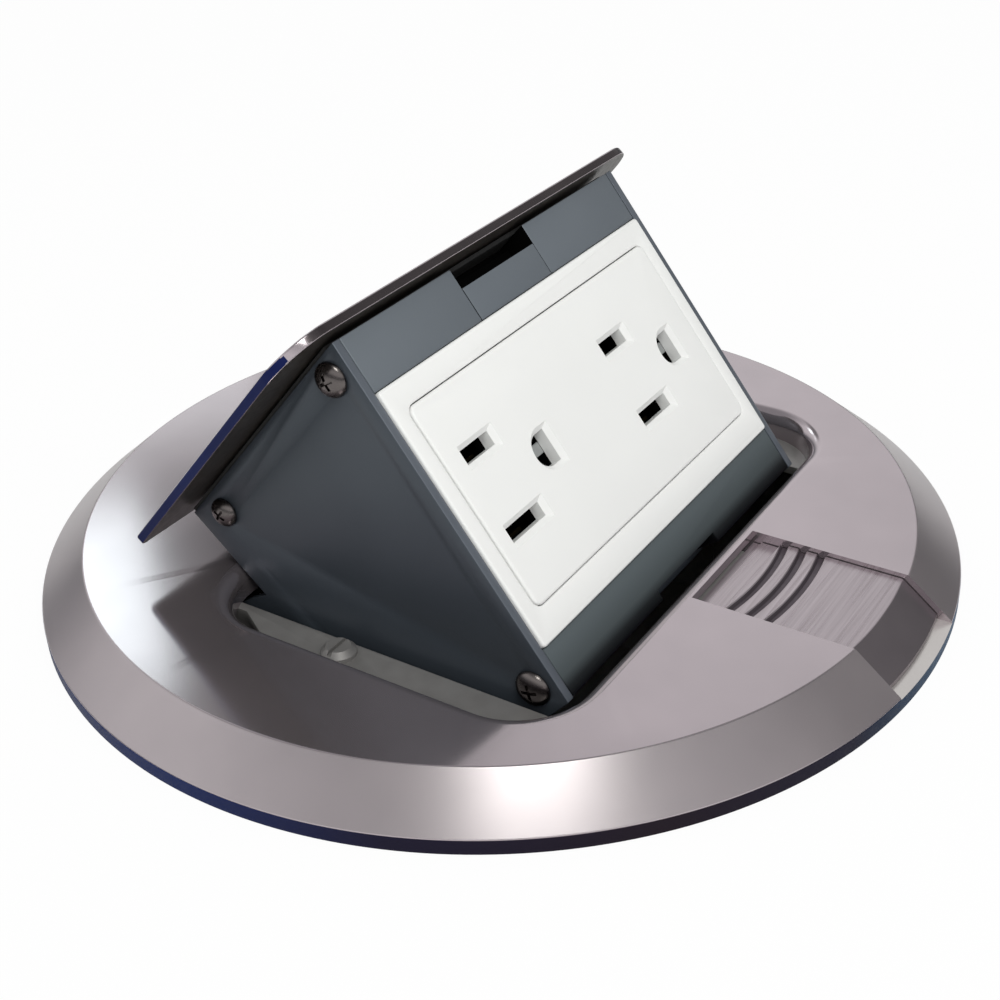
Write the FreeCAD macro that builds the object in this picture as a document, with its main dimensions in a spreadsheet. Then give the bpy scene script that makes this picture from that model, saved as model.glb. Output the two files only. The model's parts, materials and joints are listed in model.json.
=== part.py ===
import FreeCAD, Part
import math
import os
import re
import Sketcher

os.makedirs("parts", exist_ok=True)
V = FreeCAD.Vector
doc = FreeCAD.newDocument("PopUpFloorOutlet")

# Driving dimensions in millimetres and degrees.
# The row frame has its origin on the can's axis at floor level, +Z up.
# X runs along the hinge, and the latch slide is on the -Y side.
# The pop-up head is drawn shut, with its lid level, and then turned about the hinge to stand open.
SIZES = [
    # Trim ring
    ("ring_radius", 75.0),
    ("ring_top", 8.6),
    ("rim_height", 2.7),
    ("bevel_width", 7.3),
    ("seat_height", 3.8),
    ("skirt_gap", 0.3),
    ("opening_half", 48.0),
    ("opening_front", 38.4),
    ("opening_back", 22.5),
    ("opening_corner", 11.0),
    ("edge_roll", 2.5),
    ("crease_round", 0.5),
    ("gasket_gap", 3.0),
    ("gasket_width", 6.0),
    ("gasket_depth", 1.0),
    # Floor can
    ("can_radius", 63.5),
    ("can_wall", 1.5),
    ("can_depth", 64.0),
    ("can_corner", 5.0),
    ("rim_step", 0.6),
    ("ear_thickness", 1.5),
    ("ear_half", 6.5),
    ("knockout_radius", 11.1),
    ("knockout_height", -34.0),
    ("knockout_gap", 0.15),
    # Support frame
    ("frame_radius", 61.6),
    ("frame_thickness", 1.6),
    ("frame_gap", 1.9),
    ("relief_width", 8.0),
    ("relief_front", 9.0),
    ("relief_back", 27.5),
    ("cheek_front", 9.5),
    ("cheek_back", 39.5),
    ("cheek_drop", 18.8),
    ("frame_screw_x", 43.0),
    ("frame_screw_y", 0.5),
    ("ring_screw_x", 30.0),
    ("ring_screw_back", 45.0),
    ("ring_screw_front", 48.0),
    # Hinge
    ("hinge_y", 33.5),
    ("hinge_z", -9.2),
    ("open_angle", 49.0),
    ("axle_radius", 2.5),
    ("axle_gap", 0.06),
    ("hub_radius", 5.0),
    ("clip_thickness", 0.8),
    ("stop_radius", 2.0),
    ("stop_gap", 0.2),
    ("spring_radius", 3.7),
    ("spring_wire", 0.7),
    ("spring_turns", 4.0),
    ("spring_pitch", 2.0),
    # Head shell
    ("head_half", 38.0),
    ("plate_thickness", 1.5),
    ("head_top", 6.1),
    ("face_top_y", -35.3),
    ("face_lean", 11.64),
    ("face_length", 59.2),
    ("head_floor", -52.0),
    ("head_back", 13.0),
    ("arm_top", -11.0),
    ("arm_low", -27.0),
    ("sheet_thickness", 1.0),
    ("fit_gap", 0.1),
    # Lid
    ("lid_thickness", 1.9),
    ("lid_half", 46.6),
    ("lid_front", 37.4),
    ("lid_back", 20.6),
    ("lid_corner", 9.6),
    ("stud_radius", 1.5),
    ("stud_x", 28.0),
    ("stud_front", -20.0),
    ("stud_back", -3.0),
    # Face pieces, measured down the face from its top edge
    ("rail_height", 8.85),
    ("rail_depth", 8.0),
    ("bezel_bottom", 51.2),
    ("bezel_depth", 4.5),
    ("bezel_proud", 0.5),
    ("face_centre", 29.7),
    ("insert_half_u", 33.35),
    ("insert_half_v", 16.65),
    ("insert_gap", 0.15),
    ("insert_depth", 3.8),
    ("insert_proud", 0.7),
    ("notch_half", 9.9),
    ("notch_height", 3.3),
    ("notch_depth", 6.6),
    # Receptacle
    ("outlet_spacing", 38.9),
    ("blade_spread", 12.7),
    ("ground_offset", 11.9),
    ("neutral_slot", 8.6),
    ("line_slot", 6.9),
    ("slot_width", 2.3),
    ("ground_radius", 2.7),
    ("ground_side", 1.8),
    ("slot_lead", 0.8),
    ("body_half_u", 32.6),
    ("body_half_v", 15.6),
    ("body_back", 27.0),
    ("contact_depth", 14.0),
    ("strap_thickness", 1.4),
    ("strap_half", 8.0),
    # Side screws
    ("dome_radius", 3.0),
    ("dome_height", 1.5),
    ("screw_radius", 1.4),
    ("screw_length", 8.0),
    ("bar_half", 2.6),
    ("upper_bar_y", 6.8),
    ("lower_bar_y", 8.0),
    # Latch
    ("slide_half", 10.4),
    ("slide_gap", 0.2),
    ("slide_sink", 0.8),
    ("slide_travel", 4.8),
    ("channel_end", 41.2),
    ("channel_floor", 6.35),
    ("slide_thickness", 1.35),
    ("slide_setback", 2.4),
    ("step_top", 7.0),
    ("step_length", 3.4),
    ("ramp_lead", 1.1),
    ("ramp_gap", 2.4),
    ("pocket_floor", 2.4),
    ("grip_first", 47.9),
    ("grip_pitch", 3.0),
    ("grip_width", 1.3),
    ("grip_depth", 0.6),
    ("tongue_half", 8.0),
    ("tongue_tip", 38.5),
    ("tongue_tail", 54.0),
    ("tongue_low", 4.5),
    ("tongue_thickness", 1.6),
    ("guide_radius", 1.5),
    ("guide_y", 57.5),
]

sheet = doc.addObject("Spreadsheet::Sheet", "Sizes")
for row, (alias, number) in enumerate(SIZES, start=1):
    sheet.set("A%d" % row, alias)
    sheet.set("B%d" % row, str(number))
    sheet.setAlias("B%d" % row, alias)
doc.recompute()
NAMES = {alias for alias, number in SIZES}


def size(name):
    """Give one cell's number."""
    return float(sheet.get(name))


def ex(text):
    """Turn the sheet's words in a formula into cell references."""
    return re.sub(r"[a-z_]+", lambda word: cell(word.group()), text)


def cell(word):
    """Give the reference of one word if it is a size."""
    return "Sizes." + word if word in NAMES else word


# Small builders shared by the pieces


def new_body(label):
    """Start a body that may hold several solids."""
    body = doc.addObject("PartDesign::Body", label)
    body.AllowCompound = True
    return body


def new_sketch(body, role, offset):
    """Put a sketch on one of the body's own planes, moved along its normal."""
    plane = [f for f in body.Origin.OriginFeatures if f.Role == role][0]
    sketch = body.newObject("Sketcher::SketchObject", body.Name + "_sketch")
    sketch.AttachmentSupport = (plane, [""])
    sketch.MapMode = "FlatFace"
    sketch.setExpression("AttachmentOffset.Base.z", ex(offset))
    return sketch


def pin_point(sketch, geometry, place, point, start):
    """Tie one point of a sketch to two formulas."""
    for axis, formula, number in (("DistanceX", point[0], start.x), ("DistanceY", point[1], start.y)):
        index = sketch.addConstraint(Sketcher.Constraint(axis, -1, 1, geometry, place, number))
        sketch.setExpression("Constraints[%d]" % index, ex(formula))


def draw_polygon(sketch, points):
    """Add a closed outline whose corners follow formulas."""
    count = len(points)
    first = sketch.GeometryCount
    start = [V(10 * math.cos(2 * math.pi * i / count), 10 * math.sin(2 * math.pi * i / count), 0)
             for i in range(count)]
    for i in range(count):
        sketch.addGeometry(Part.LineSegment(start[i], start[(i + 1) % count]), False)
    for i in range(count):
        after = first + (i + 1) % count
        sketch.addConstraint(Sketcher.Constraint("Coincident", first + i, 2, after, 1))
    for i, point in enumerate(points):
        pin_point(sketch, first + i, 1, point, start[i])


def draw_circle(sketch, centre, radius):
    """Add a circle whose centre and radius follow formulas."""
    circle = sketch.addGeometry(Part.Circle(V(1, 1, 0), V(0, 0, 1), 5), False)
    index = sketch.addConstraint(Sketcher.Constraint("Radius", circle, 5))
    sketch.setExpression("Constraints[%d]" % index, ex(radius))
    pin_point(sketch, circle, 3, centre, V(1, 1, 0))


def polygon(body, role, offset, points):
    """Give a sketch that holds one polygon."""
    sketch = new_sketch(body, role, offset)
    draw_polygon(sketch, points)
    return sketch


def rectangle(body, role, offset, x_low, x_high, y_low, y_high):
    """Give a sketch that holds one rectangle."""
    corners = [(x_low, y_low), (x_high, y_low), (x_high, y_high), (x_low, y_high)]
    return polygon(body, role, offset, corners)


def circles(body, role, offset, centres, radius):
    """Give a sketch that holds circles of one radius."""
    sketch = new_sketch(body, role, offset)
    for centre in centres:
        draw_circle(sketch, centre, radius)
    return sketch


def grow(body, kind, sketch, length, both):
    """Add a pad or pocket of the sketch."""
    feature = body.newObject("PartDesign::" + kind, body.Name + "_" + kind.lower())
    feature.Profile = sketch
    feature.setExpression("Length", ex(length))
    if both:
        feature.SideType = "Symmetric"
    return feature


def pad(body, sketch, length, both=False):
    """Raise the sketch along its normal, or evenly to both sides."""
    feature = grow(body, "Pad", sketch, length, both)
    doc.recompute()
    return feature


def cut_check(body, feature, before):
    """Stop if a cut took nothing away."""
    doc.recompute()
    if body.Shape.Volume > before - 1e-6:
        raise ValueError(feature.Name + " cuts nothing")
    return feature


def pocket(body, sketch, length, both=False, along=False):
    """Cut the sketch against its normal, along it, or evenly to both sides."""
    before = body.Shape.Volume
    feature = grow(body, "Pocket", sketch, length, both)
    feature.Reversed = along
    return cut_check(body, feature, before)


def turn(body, kind, sketch):
    """Turn the sketch round its own vertical axis, to add or to cut."""
    before = body.Shape.Volume if kind == "Groove" else 0
    feature = body.newObject("PartDesign::" + kind, body.Name + "_" + kind.lower())
    feature.Profile = sketch
    feature.ReferenceAxis = (sketch, ["V_Axis"])
    feature.Angle = 360
    if kind == "Groove":
        return cut_check(body, feature, before)
    doc.recompute()
    return feature


def soften(body, kind, amount, wanted):
    """Fillet or chamfer the edges that the test picks."""
    tip = body.Tip
    names = ["Edge%d" % (i + 1) for i, edge in enumerate(tip.Shape.Edges) if wanted(edge)]
    feature = body.newObject("PartDesign::" + kind, body.Name + "_" + kind.lower())
    feature.Base = (tip, names)
    feature.setExpression("Radius" if kind == "Fillet" else "Size", ex(amount))
    doc.recompute()
    return feature


def mirror(body, role, features):
    """Repeat features on the other side of one of the body's planes."""
    feature = body.newObject("PartDesign::Mirrored", body.Name + "_mirrored")
    feature.Originals = features
    plane = [f for f in body.Origin.OriginFeatures if f.Role == role][0]
    feature.MirrorPlane = (plane, [""])
    body.Tip = feature
    doc.recompute()
    return feature


def row(body, features, length):
    """Repeat features once more along X."""
    feature = body.newObject("PartDesign::LinearPattern", body.Name + "_pattern")
    feature.Originals = features
    axis = [f for f in body.Origin.OriginFeatures if f.Role == "X_Axis"][0]
    feature.Direction = (axis, [""])
    feature.setExpression("Length", ex(length))
    feature.Occurrences = 2
    body.Tip = feature
    doc.recompute()
    return feature


def upright(edge, axis):
    """Say whether an edge is straight and runs along an axis."""
    if edge.Curve.TypeId != "Part::GeomLine":
        return False
    return abs(abs(edge.Curve.Direction.dot(axis)) - 1) < 1e-6


def at_level(edge, axis, level):
    """Say whether a whole edge lies at one distance along an axis."""
    box = edge.BoundBox
    low = V(box.XMin, box.YMin, box.ZMin).dot(axis)
    high = V(box.XMax, box.YMax, box.ZMax).dot(axis)
    return abs(low - level) < 1e-4 and abs(high - level) < 1e-4


def group(label, master, places):
    """Make one sub-part from like solids at several places."""
    links = []
    for i, place in enumerate(places):
        link = doc.addObject("App::Link", "%s_%d" % (label, i + 1))
        link.LinkedObject = master
        link.Placement = place
        links.append(link)
    compound = doc.addObject("Part::Compound", label)
    compound.Links = links
    doc.recompute()
    return compound


def turned_piece(label, points):
    """Turn an outline of radius and height round Z."""
    body = new_body(label)
    turn(body, "Revolution", polygon(body, "XZ_Plane", "0", points))
    return body


def place_at(x, y, z, axis=V(0, 0, 1)):
    """Give a place whose own Z points along an axis."""
    return FreeCAD.Placement(V(x, y, z), FreeCAD.Rotation(V(0, 0, 1), axis))


X_AXIS = V(1, 0, 0)
Y_AXIS = V(0, 1, 0)
Z_AXIS = V(0, 0, 1)
PARTS = {}

# The head's own places: turned open about the hinge, and on the leaning face
LEAN = math.radians(size("face_lean"))
OPEN = FreeCAD.Placement(V(0, 0, 0), FreeCAD.Rotation(X_AXIS, -size("open_angle")),
                         V(0, size("hinge_y"), size("hinge_z")))
FACE = OPEN.multiply(FreeCAD.Placement(V(0, size("face_top_y"), size("head_top")),
                                       FreeCAD.Rotation(X_AXIS, 90 + size("face_lean"))))
LEAN_SLOPE = "tan(face_lean * 1 deg)"
LEAN_SIN = "sin(face_lean * 1 deg)"
LEAN_COS = "cos(face_lean * 1 deg)"


def face_y(down, back):
    """Give the shut Y of a point down and behind the face's top edge."""
    return "face_top_y + (%s) * %s + (%s) * %s" % (down, LEAN_SIN, back, LEAN_COS)


def face_z(down, back):
    """Give the shut Z of a point down and behind the face's top edge."""
    return "head_top - (%s) * %s + (%s) * %s" % (down, LEAN_COS, back, LEAN_SIN)


def keep(piece, place=None):
    """Register a sub-part, moved to its place."""
    if place is not None:
        piece.Placement = place
    PARTS[piece.Label] = piece


# Places that follow the ring's own radius, and the can's

CREASE = "(ring_radius - bevel_width)"
SLIDE_OUTER = "(ring_radius - slide_setback)"
RAMP_START = "(ring_radius - bevel_width - slide_sink - slide_travel - ramp_lead)"
RAMP_FOOT = "(ring_radius - slide_setback - slide_travel - ramp_gap)"
GASKET_INNER = "(can_radius + gasket_gap)"


# Trim ring: a cast disc with a bevelled edge, the head's opening and the latch channel


def make_trim_ring():
    ring = new_body("trim_ring")
    skirt = "can_radius + skirt_gap"
    shoulder = "frame_radius + 2 * skirt_gap"
    turn(ring, "Revolution", polygon(ring, "XZ_Plane", "0", [
        ("0", "seat_height"), (shoulder, "seat_height"), (shoulder, "seat_height - frame_thickness + fit_gap"),
        (skirt, "seat_height - frame_thickness + fit_gap"), (skirt, "0"), ("ring_radius", "0"),
        ("ring_radius", "rim_height"), (CREASE, "ring_top"), ("0", "ring_top")]))
    crease = size("ring_radius") - size("bevel_width")
    top = size("ring_top")
    soften(ring, "Fillet", "crease_round", lambda e: e.Curve.TypeId == "Part::GeomCircle"
           and abs(e.Curve.Radius - crease) < 1e-3 and at_level(e, Z_AXIS, top))
    pocket(ring, rectangle(ring, "XY_Plane", "ring_top", "-opening_half", "opening_half",
                           "-opening_front", "opening_back"), "ring_top + 1")
    soften(ring, "Fillet", "opening_corner", lambda e: upright(e, Z_AXIS)
           and abs(abs(e.Vertexes[0].X) - size("opening_half")) < 0.01 and e.Length > top - size("seat_height") - 0.01)
    soften(ring, "Fillet", "edge_roll", lambda e: at_level(e, Z_AXIS, top)
           and abs(e.CenterOfMass.x) < size("opening_half") + 1 and e.BoundBox.DiagonalLength < 150)
    # Latch channel, its outer pocket, and the way under the lip for the tongue
    half = "slide_half + slide_gap"
    pocket(ring, rectangle(ring, "XY_Plane", "ring_top", "-(%s)" % half, half,
                           "-ring_radius - 5", "-channel_end"), "ring_top - channel_floor")
    pocket(ring, polygon(ring, "YZ_Plane", "0", [
        ("-" + RAMP_START, "channel_floor + 0.1"), ("-" + RAMP_START, "channel_floor"),
        ("-" + RAMP_FOOT, "pocket_floor"),
        ("-ring_radius - 5", "pocket_floor"), ("-ring_radius - 5", "channel_floor + 0.1")]),
        "2 * (%s)" % half, both=True)
    pocket(ring, rectangle(ring, "XY_Plane", "channel_floor", "-(%s)" % half, half, "-channel_end - 1",
                           "-opening_front + 1"), "step_top + slide_gap / 2 - channel_floor", along=True)
    pocket(ring, rectangle(ring, "XY_Plane", "channel_floor", "-tongue_half - slide_gap",
                           "tongue_half + slide_gap", "-tongue_tail - 2 * slide_gap",
                           "-opening_front + 1"), "channel_floor - tongue_low + slide_gap / 2")
    # Guide slot and its counter recess for the head of the guide screw
    slot_back = "-guide_y - guide_radius - slide_gap"
    pocket(ring, rectangle(ring, "XY_Plane", "channel_floor", "-guide_radius - slide_gap",
                           "guide_radius + slide_gap", slot_back, "-tongue_tail"),
           "channel_floor - seat_height + 1")
    pocket(ring, rectangle(ring, "XY_Plane", "seat_height", "-2 * guide_radius - slide_gap",
                           "2 * guide_radius + slide_gap", "-guide_y - 2 * guide_radius",
                           "-guide_y + 2 * guide_radius + slide_travel"), "1.3", along=True)
    pocket(ring, circles(ring, "XY_Plane", "seat_height", ring_screw_spots(), "screw_radius"),
           "3.4", along=True)
    turn(ring, "Groove", rectangle(ring, "XZ_Plane", "0", GASKET_INNER, GASKET_INNER + " + gasket_width",
                                   "-1", "gasket_depth"))
    keep(ring)


def ring_screw_spots():
    """Give the four places where screws hold the ring to the frame."""
    return [("ring_screw_x", "ring_screw_back"), ("-ring_screw_x", "ring_screw_back"),
            ("ring_screw_x", "-ring_screw_front"), ("-ring_screw_x", "-ring_screw_front")]


def make_ring_gasket():
    keep(turned_piece("ring_gasket", [
        (GASKET_INNER + " + fit_gap", "0"), (GASKET_INNER + " + gasket_width - fit_gap", "0"),
        (GASKET_INNER + " + gasket_width - fit_gap", "gasket_depth"),
        (GASKET_INNER + " + fit_gap", "gasket_depth")]))


# Support frame: a pressed plate under the ring, with two cheeks that carry the hinge


def make_support_frame():
    frame = new_body("support_frame")
    inner = "head_half + frame_gap"
    outer = "head_half + frame_gap + relief_width"
    low = "seat_height - frame_thickness"
    pad(frame, circles(frame, "XY_Plane", low, [("0", "0")], "frame_radius"), "frame_thickness")
    pocket(frame, polygon(frame, "XY_Plane", "seat_height", [
        ("-(%s)" % inner, "-opening_front"), (inner, "-opening_front"), (inner, "opening_back"),
        (outer, "relief_front"), (outer, "relief_back"), ("-(%s)" % outer, "relief_back"),
        ("-(%s)" % outer, "relief_front"), ("-(%s)" % inner, "opening_back")]), "frame_thickness + 1")
    cheek = pad(frame, polygon(frame, "YZ_Plane", inner, [
        ("cheek_front", "seat_height"), ("opening_back", "seat_height"), ("relief_back - 2", low + " - 2"),
        ("relief_back + 1", low + " - 2"), ("relief_back + 3", low + " + 0.1"),
        ("cheek_back", low + " + 0.1"), ("cheek_back", "seat_height - cheek_drop"),
        ("cheek_back - 12", "seat_height - cheek_drop"), ("cheek_front", low + " - 2.5")]), "frame_thickness")
    mirror(frame, "YZ_Plane", [cheek])
    width = "2 * (%s) + 10" % outer
    pocket(frame, circles(frame, "YZ_Plane", "0", [("hinge_y", "hinge_z")], "axle_radius + axle_gap"),
           width, both=True)
    pocket(frame, circles(frame, "YZ_Plane", "0", [stop_spot()], "stop_radius + axle_gap"),
           width, both=True)
    pocket(frame, circles(frame, "XY_Plane", "seat_height", frame_screw_spots(), "screw_radius + 0.7"),
           "frame_thickness + 1")
    pocket(frame, circles(frame, "XY_Plane", "seat_height", ring_screw_spots(), "screw_radius + 0.2"),
           "frame_thickness + 1")
    keep(frame)


def stop_spot():
    """Give the place of the stop pins, just above the open arms."""
    y, z = stop_numbers()
    return "%.6f" % y, "%.6f" % z


def stop_numbers():
    """Work out where a pin rests on the top edge of an open arm."""
    edge_start = V(0, size("head_back"), size("arm_top"))
    edge_end = V(0, size("hinge_y"), size("hinge_z") + size("hub_radius"))
    along = OPEN.Rotation.multVec(edge_end - edge_start).normalize()
    above = V(0, -along.z, along.y)
    seat = OPEN.multVec(edge_end) - along * 4
    spot = seat + above * (size("stop_radius") + size("stop_gap"))
    return spot.y, spot.z


def frame_screw_spots():
    """Give the places where the frame is screwed to the can's ears."""
    return [("frame_screw_x", "frame_screw_y"), ("-frame_screw_x", "frame_screw_y")]


# Floor can: a drawn round can with two ears and two knockouts


def make_floor_can():
    can = new_body("floor_can")
    top = "seat_height - frame_thickness"
    inner = "can_radius - can_wall"
    turn(can, "Revolution", polygon(can, "XZ_Plane", "0", [
        ("0", "-can_depth"), ("can_radius - can_corner", "-can_depth"),
        ("can_radius", "-can_depth + can_corner"), ("can_radius", "-fit_gap"), ("can_radius - rim_step", "-fit_gap"),
        ("can_radius - rim_step", top), (inner, top),
        (inner, "-can_depth + can_corner + can_wall / 3"),
        ("can_radius - can_corner - can_wall / 3", "-can_depth + can_wall"), ("0", "-can_depth + can_wall")]))
    ear = pad(can, rectangle(can, "XY_Plane", top + " - ear_thickness", "head_half + frame_gap + 0.2",
                             inner + " - 0.2", "frame_screw_y - ear_half", "frame_screw_y + ear_half"),
              "ear_thickness")
    mirror(can, "YZ_Plane", [ear])
    pocket(can, circles(can, "XY_Plane", top, frame_screw_spots(), "screw_radius + 0.6"),
           "ear_thickness + 1")
    pocket(can, circles(can, "YZ_Plane", "0", [("0", "knockout_height")], "knockout_radius"),
           "2 * can_radius + 10", both=True)
    pocket(can, circles(can, "XY_Plane", "-can_depth + can_wall + 1", [("0", "-30")], "screw_radius + 0.1"),
           "can_wall + 2")
    keep(can)


def make_knockout_plugs():
    """Make the two curved discs that close the knockouts."""
    outside = doc.addObject("Part::Cylinder", "knockout_outside")
    outside.setExpression("Radius", ex("can_radius"))
    outside.setExpression("Height", ex("4 * knockout_radius"))
    inside = doc.addObject("Part::Cylinder", "knockout_inside")
    inside.setExpression("Radius", ex("can_radius - can_wall"))
    inside.setExpression("Height", ex("4 * knockout_radius"))
    for piece in (outside, inside):
        piece.Placement = place_at(0, 0, size("knockout_height") - 2 * size("knockout_radius"))
    shell = doc.addObject("Part::Cut", "knockout_shell")
    shell.Base = outside
    shell.Tool = inside
    punch = doc.addObject("Part::Cylinder", "knockout_punch")
    punch.setExpression("Radius", ex("knockout_radius - knockout_gap"))
    punch.setExpression("Height", ex("2 * can_radius + 10"))
    punch.Placement = place_at(-size("can_radius") - 5, 0, size("knockout_height"), X_AXIS)
    plugs = doc.addObject("Part::Common", "knockout_plugs")
    plugs.Base = shell
    plugs.Tool = punch
    doc.recompute()
    keep(plugs)


# Fasteners


def make_screw(label, head_radius, head_height, shank_radius, length, slot):
    """Make a slotted pan-head screw that points down from its seat at the origin."""
    screw = turned_piece(label, [
        ("0", "-(%s)" % length), (shank_radius, "-(%s)" % length), (shank_radius, "0"), (head_radius, "0"),
        (head_radius, "0.45 * (%s)" % head_height), ("0.7 * (%s)" % head_radius, head_height),
        ("0", head_height)])
    if slot:
        pocket(screw, rectangle(screw, "XY_Plane", "(%s) + 0.2" % head_height, "-2 * (%s)" % head_radius,
                                "2 * (%s)" % head_radius, "-0.35", "0.35"), "0.5 * (%s)" % head_height)
    return screw


def make_fasteners():
    seat = size("seat_height")
    under = seat - size("frame_thickness")
    frame_screw = make_screw("frame_screw_master", "2.7", "1.6", "screw_radius + 0.5", "7", True)
    x, y = size("frame_screw_x"), size("frame_screw_y")
    keep(group("frame_screws", frame_screw, [place_at(x, y, seat), place_at(-x, y, seat)]))
    ring_screw = make_screw("ring_screw_master", "2.4", "1.4", "screw_radius - 0.1", "4.6", False)
    spots = [(sx * size("ring_screw_x"), y) for sx in (1, -1)
             for y in (size("ring_screw_back"), -size("ring_screw_front"))]
    keep(group("ring_screws", ring_screw, [place_at(x, y, under, -Z_AXIS) for x, y in spots]))
    ground = make_screw("ground_screw", "3.6", "2.2", "screw_radius", "can_wall - fit_gap", True)
    keep(ground, place_at(0, -30, size("can_wall") - size("can_depth")))


# Hinge: axle, clips, washers, stop pins and lift springs


def make_hinge():
    hinge_y, hinge_z = size("hinge_y"), size("hinge_z")
    inner = size("head_half") + size("frame_gap")
    end = "head_half + frame_gap + frame_thickness + 1.8"
    axle = new_body("hinge_axle")
    pad(axle, circles(axle, "YZ_Plane", "0", [("hinge_y", "hinge_z")], "axle_radius"),
        "2 * (%s)" % end, both=True)
    soften(axle, "Chamfer", "0.4", lambda e: e.Curve.TypeId == "Part::GeomCircle")
    neck = new_sketch(axle, "YZ_Plane", "head_half + frame_gap + frame_thickness + 0.15")
    draw_circle(neck, ("hinge_y", "hinge_z"), "axle_radius - 0.5")
    draw_circle(neck, ("hinge_y", "hinge_z"), "axle_radius + 1")
    groove = pocket(axle, neck, "clip_thickness + 0.1", along=True)
    mirror(axle, "YZ_Plane", [groove])
    keep(axle)
    clip = turned_piece("axle_clip_master", [
        ("axle_radius - 0.45", "0"), ("axle_radius + 1.8", "0"),
        ("axle_radius + 1.8", "clip_thickness"), ("axle_radius - 0.45", "clip_thickness")])
    pocket(clip, rectangle(clip, "XY_Plane", "-1", "-0.8", "0.8", "0", "axle_radius + 3"),
           "clip_thickness + 2", along=True)
    outer = inner + size("frame_thickness") + 0.2
    keep(group("axle_clips", clip, [place_at(outer, hinge_y, hinge_z, X_AXIS),
                                    place_at(-outer, hinge_y, hinge_z, -X_AXIS)]))
    washer = turned_piece("hub_washer_master", [
        ("axle_radius + 0.1", "0"), ("hub_radius", "0"),
        ("hub_radius", "frame_gap - 2 * fit_gap"), ("axle_radius + 0.1", "frame_gap - 2 * fit_gap")])
    beside = size("head_half") + size("fit_gap")
    keep(group("hub_washers", washer, [place_at(beside, hinge_y, hinge_z, X_AXIS),
                                       place_at(-beside, hinge_y, hinge_z, -X_AXIS)]))
    pin = turned_piece("stop_pin_master", [
        ("0", "0"), ("stop_radius", "0"), ("stop_radius", "plate_thickness + frame_gap + frame_thickness"),
        ("stop_radius + 0.6", "plate_thickness + frame_gap + frame_thickness"),
        ("stop_radius + 0.6", "plate_thickness + frame_gap + frame_thickness + 1"),
        ("0", "plate_thickness + frame_gap + frame_thickness + 1")])
    stop_y, stop_z = stop_numbers()
    tip = size("head_half") - size("plate_thickness")
    keep(group("stop_pins", pin, [place_at(tip, stop_y, stop_z, X_AXIS),
                                  place_at(-tip, stop_y, stop_z, -X_AXIS)]))


def make_lift_springs():
    """Wind the two torsion springs round the axle."""
    radius, wire = size("spring_radius"), size("spring_wire")
    helix = Part.makeHelix(size("spring_pitch"), size("spring_pitch") * size("spring_turns"), radius)
    start = V(radius, 0, 0)
    profile = Part.Wire([Part.makeCircle(wire, start, V(0, 1, 0))])
    coil = Part.Wire(helix).makePipeShell([profile], True, True)
    master = doc.addObject("Part::Feature", "lift_spring_master")
    master.Shape = coil
    inboard = size("head_half") - size("plate_thickness") - 3
    y, z = size("hinge_y"), size("hinge_z")
    keep(group("lift_springs", master, [place_at(inboard, y, z, -X_AXIS), place_at(-inboard, y, z, X_AXIS)]))


# Head shell, drawn shut


def screw_spots():
    """Give the side screws' places in the shut head: two in the rails and two in the bars."""
    rail = ("0.5 * rail_height - 0.3", "0.5 * rail_depth")
    low = ("face_length - 3.7", "0.5 * rail_depth + 0.2")
    return [(face_y(*rail), face_z(*rail)), (face_y(*low), face_z(*low)),
            ("upper_bar_y", "head_top - sheet_thickness - fit_gap - bar_half"),
            ("lower_bar_y", "head_floor + sheet_thickness + 2 * fit_gap + bar_half")]


def make_side_plate(label, offset):
    plate = new_body(label)
    bottom_y = "face_top_y + (head_top - head_floor) * " + LEAN_SLOPE
    pad(plate, polygon(plate, "YZ_Plane", offset, [
        ("face_top_y", "head_top"), ("head_back", "head_top"), ("head_back", "arm_top"),
        ("hinge_y", "hinge_z + hub_radius"), ("hinge_y", "hinge_z - hub_radius"),
        ("head_back", "arm_low"), ("head_back", "head_floor"), (bottom_y, "head_floor")]), "plate_thickness")
    pad(plate, circles(plate, "YZ_Plane", offset, [("hinge_y", "hinge_z")], "hub_radius"), "plate_thickness")
    pocket(plate, circles(plate, "YZ_Plane", offset, [("hinge_y", "hinge_z")], "axle_radius + axle_gap"),
           "plate_thickness + 1", along=True)
    pocket(plate, circles(plate, "YZ_Plane", offset, screw_spots(), "screw_radius + fit_gap"),
           "plate_thickness + 1", along=True)
    keep(plate, OPEN)


def make_spacer_bars():
    bars = new_body("spacer_bars")
    width = "2 * (head_half - plate_thickness - fit_gap)"
    spots = screw_spots()[2:]
    for y, z in spots:
        pad(bars, rectangle(bars, "YZ_Plane", "0", "%s - bar_half" % y, "%s + bar_half" % y,
                            "%s - bar_half" % z, "%s + bar_half" % z), width, both=True)
    hole = pocket(bars, circles(bars, "YZ_Plane", "head_half", spots, "screw_radius + fit_gap"),
                  "screw_length + 3")
    mirror(bars, "YZ_Plane", [hole])
    keep(bars, OPEN)


def make_top_plate():
    plate = new_body("top_plate")
    half = "head_half - plate_thickness - fit_gap"
    pad(plate, rectangle(plate, "XY_Plane", "head_top - sheet_thickness", "-(%s)" % half, half,
                         "face_top_y + rail_depth / %s + sheet_thickness * %s + fit_gap" % (LEAN_COS, LEAN_SLOPE),
                         "head_back - sheet_thickness - 2 * fit_gap"), "sheet_thickness")
    pocket(plate, circles(plate, "XY_Plane", "head_top", stud_spots(), "stud_radius + 2 * fit_gap"),
           "sheet_thickness + 1")
    keep(plate, OPEN)


def stud_spots():
    """Give the four places of the lid's welded studs."""
    return [(x, y) for x in ("stud_x", "-stud_x") for y in ("stud_front", "stud_back")]


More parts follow.
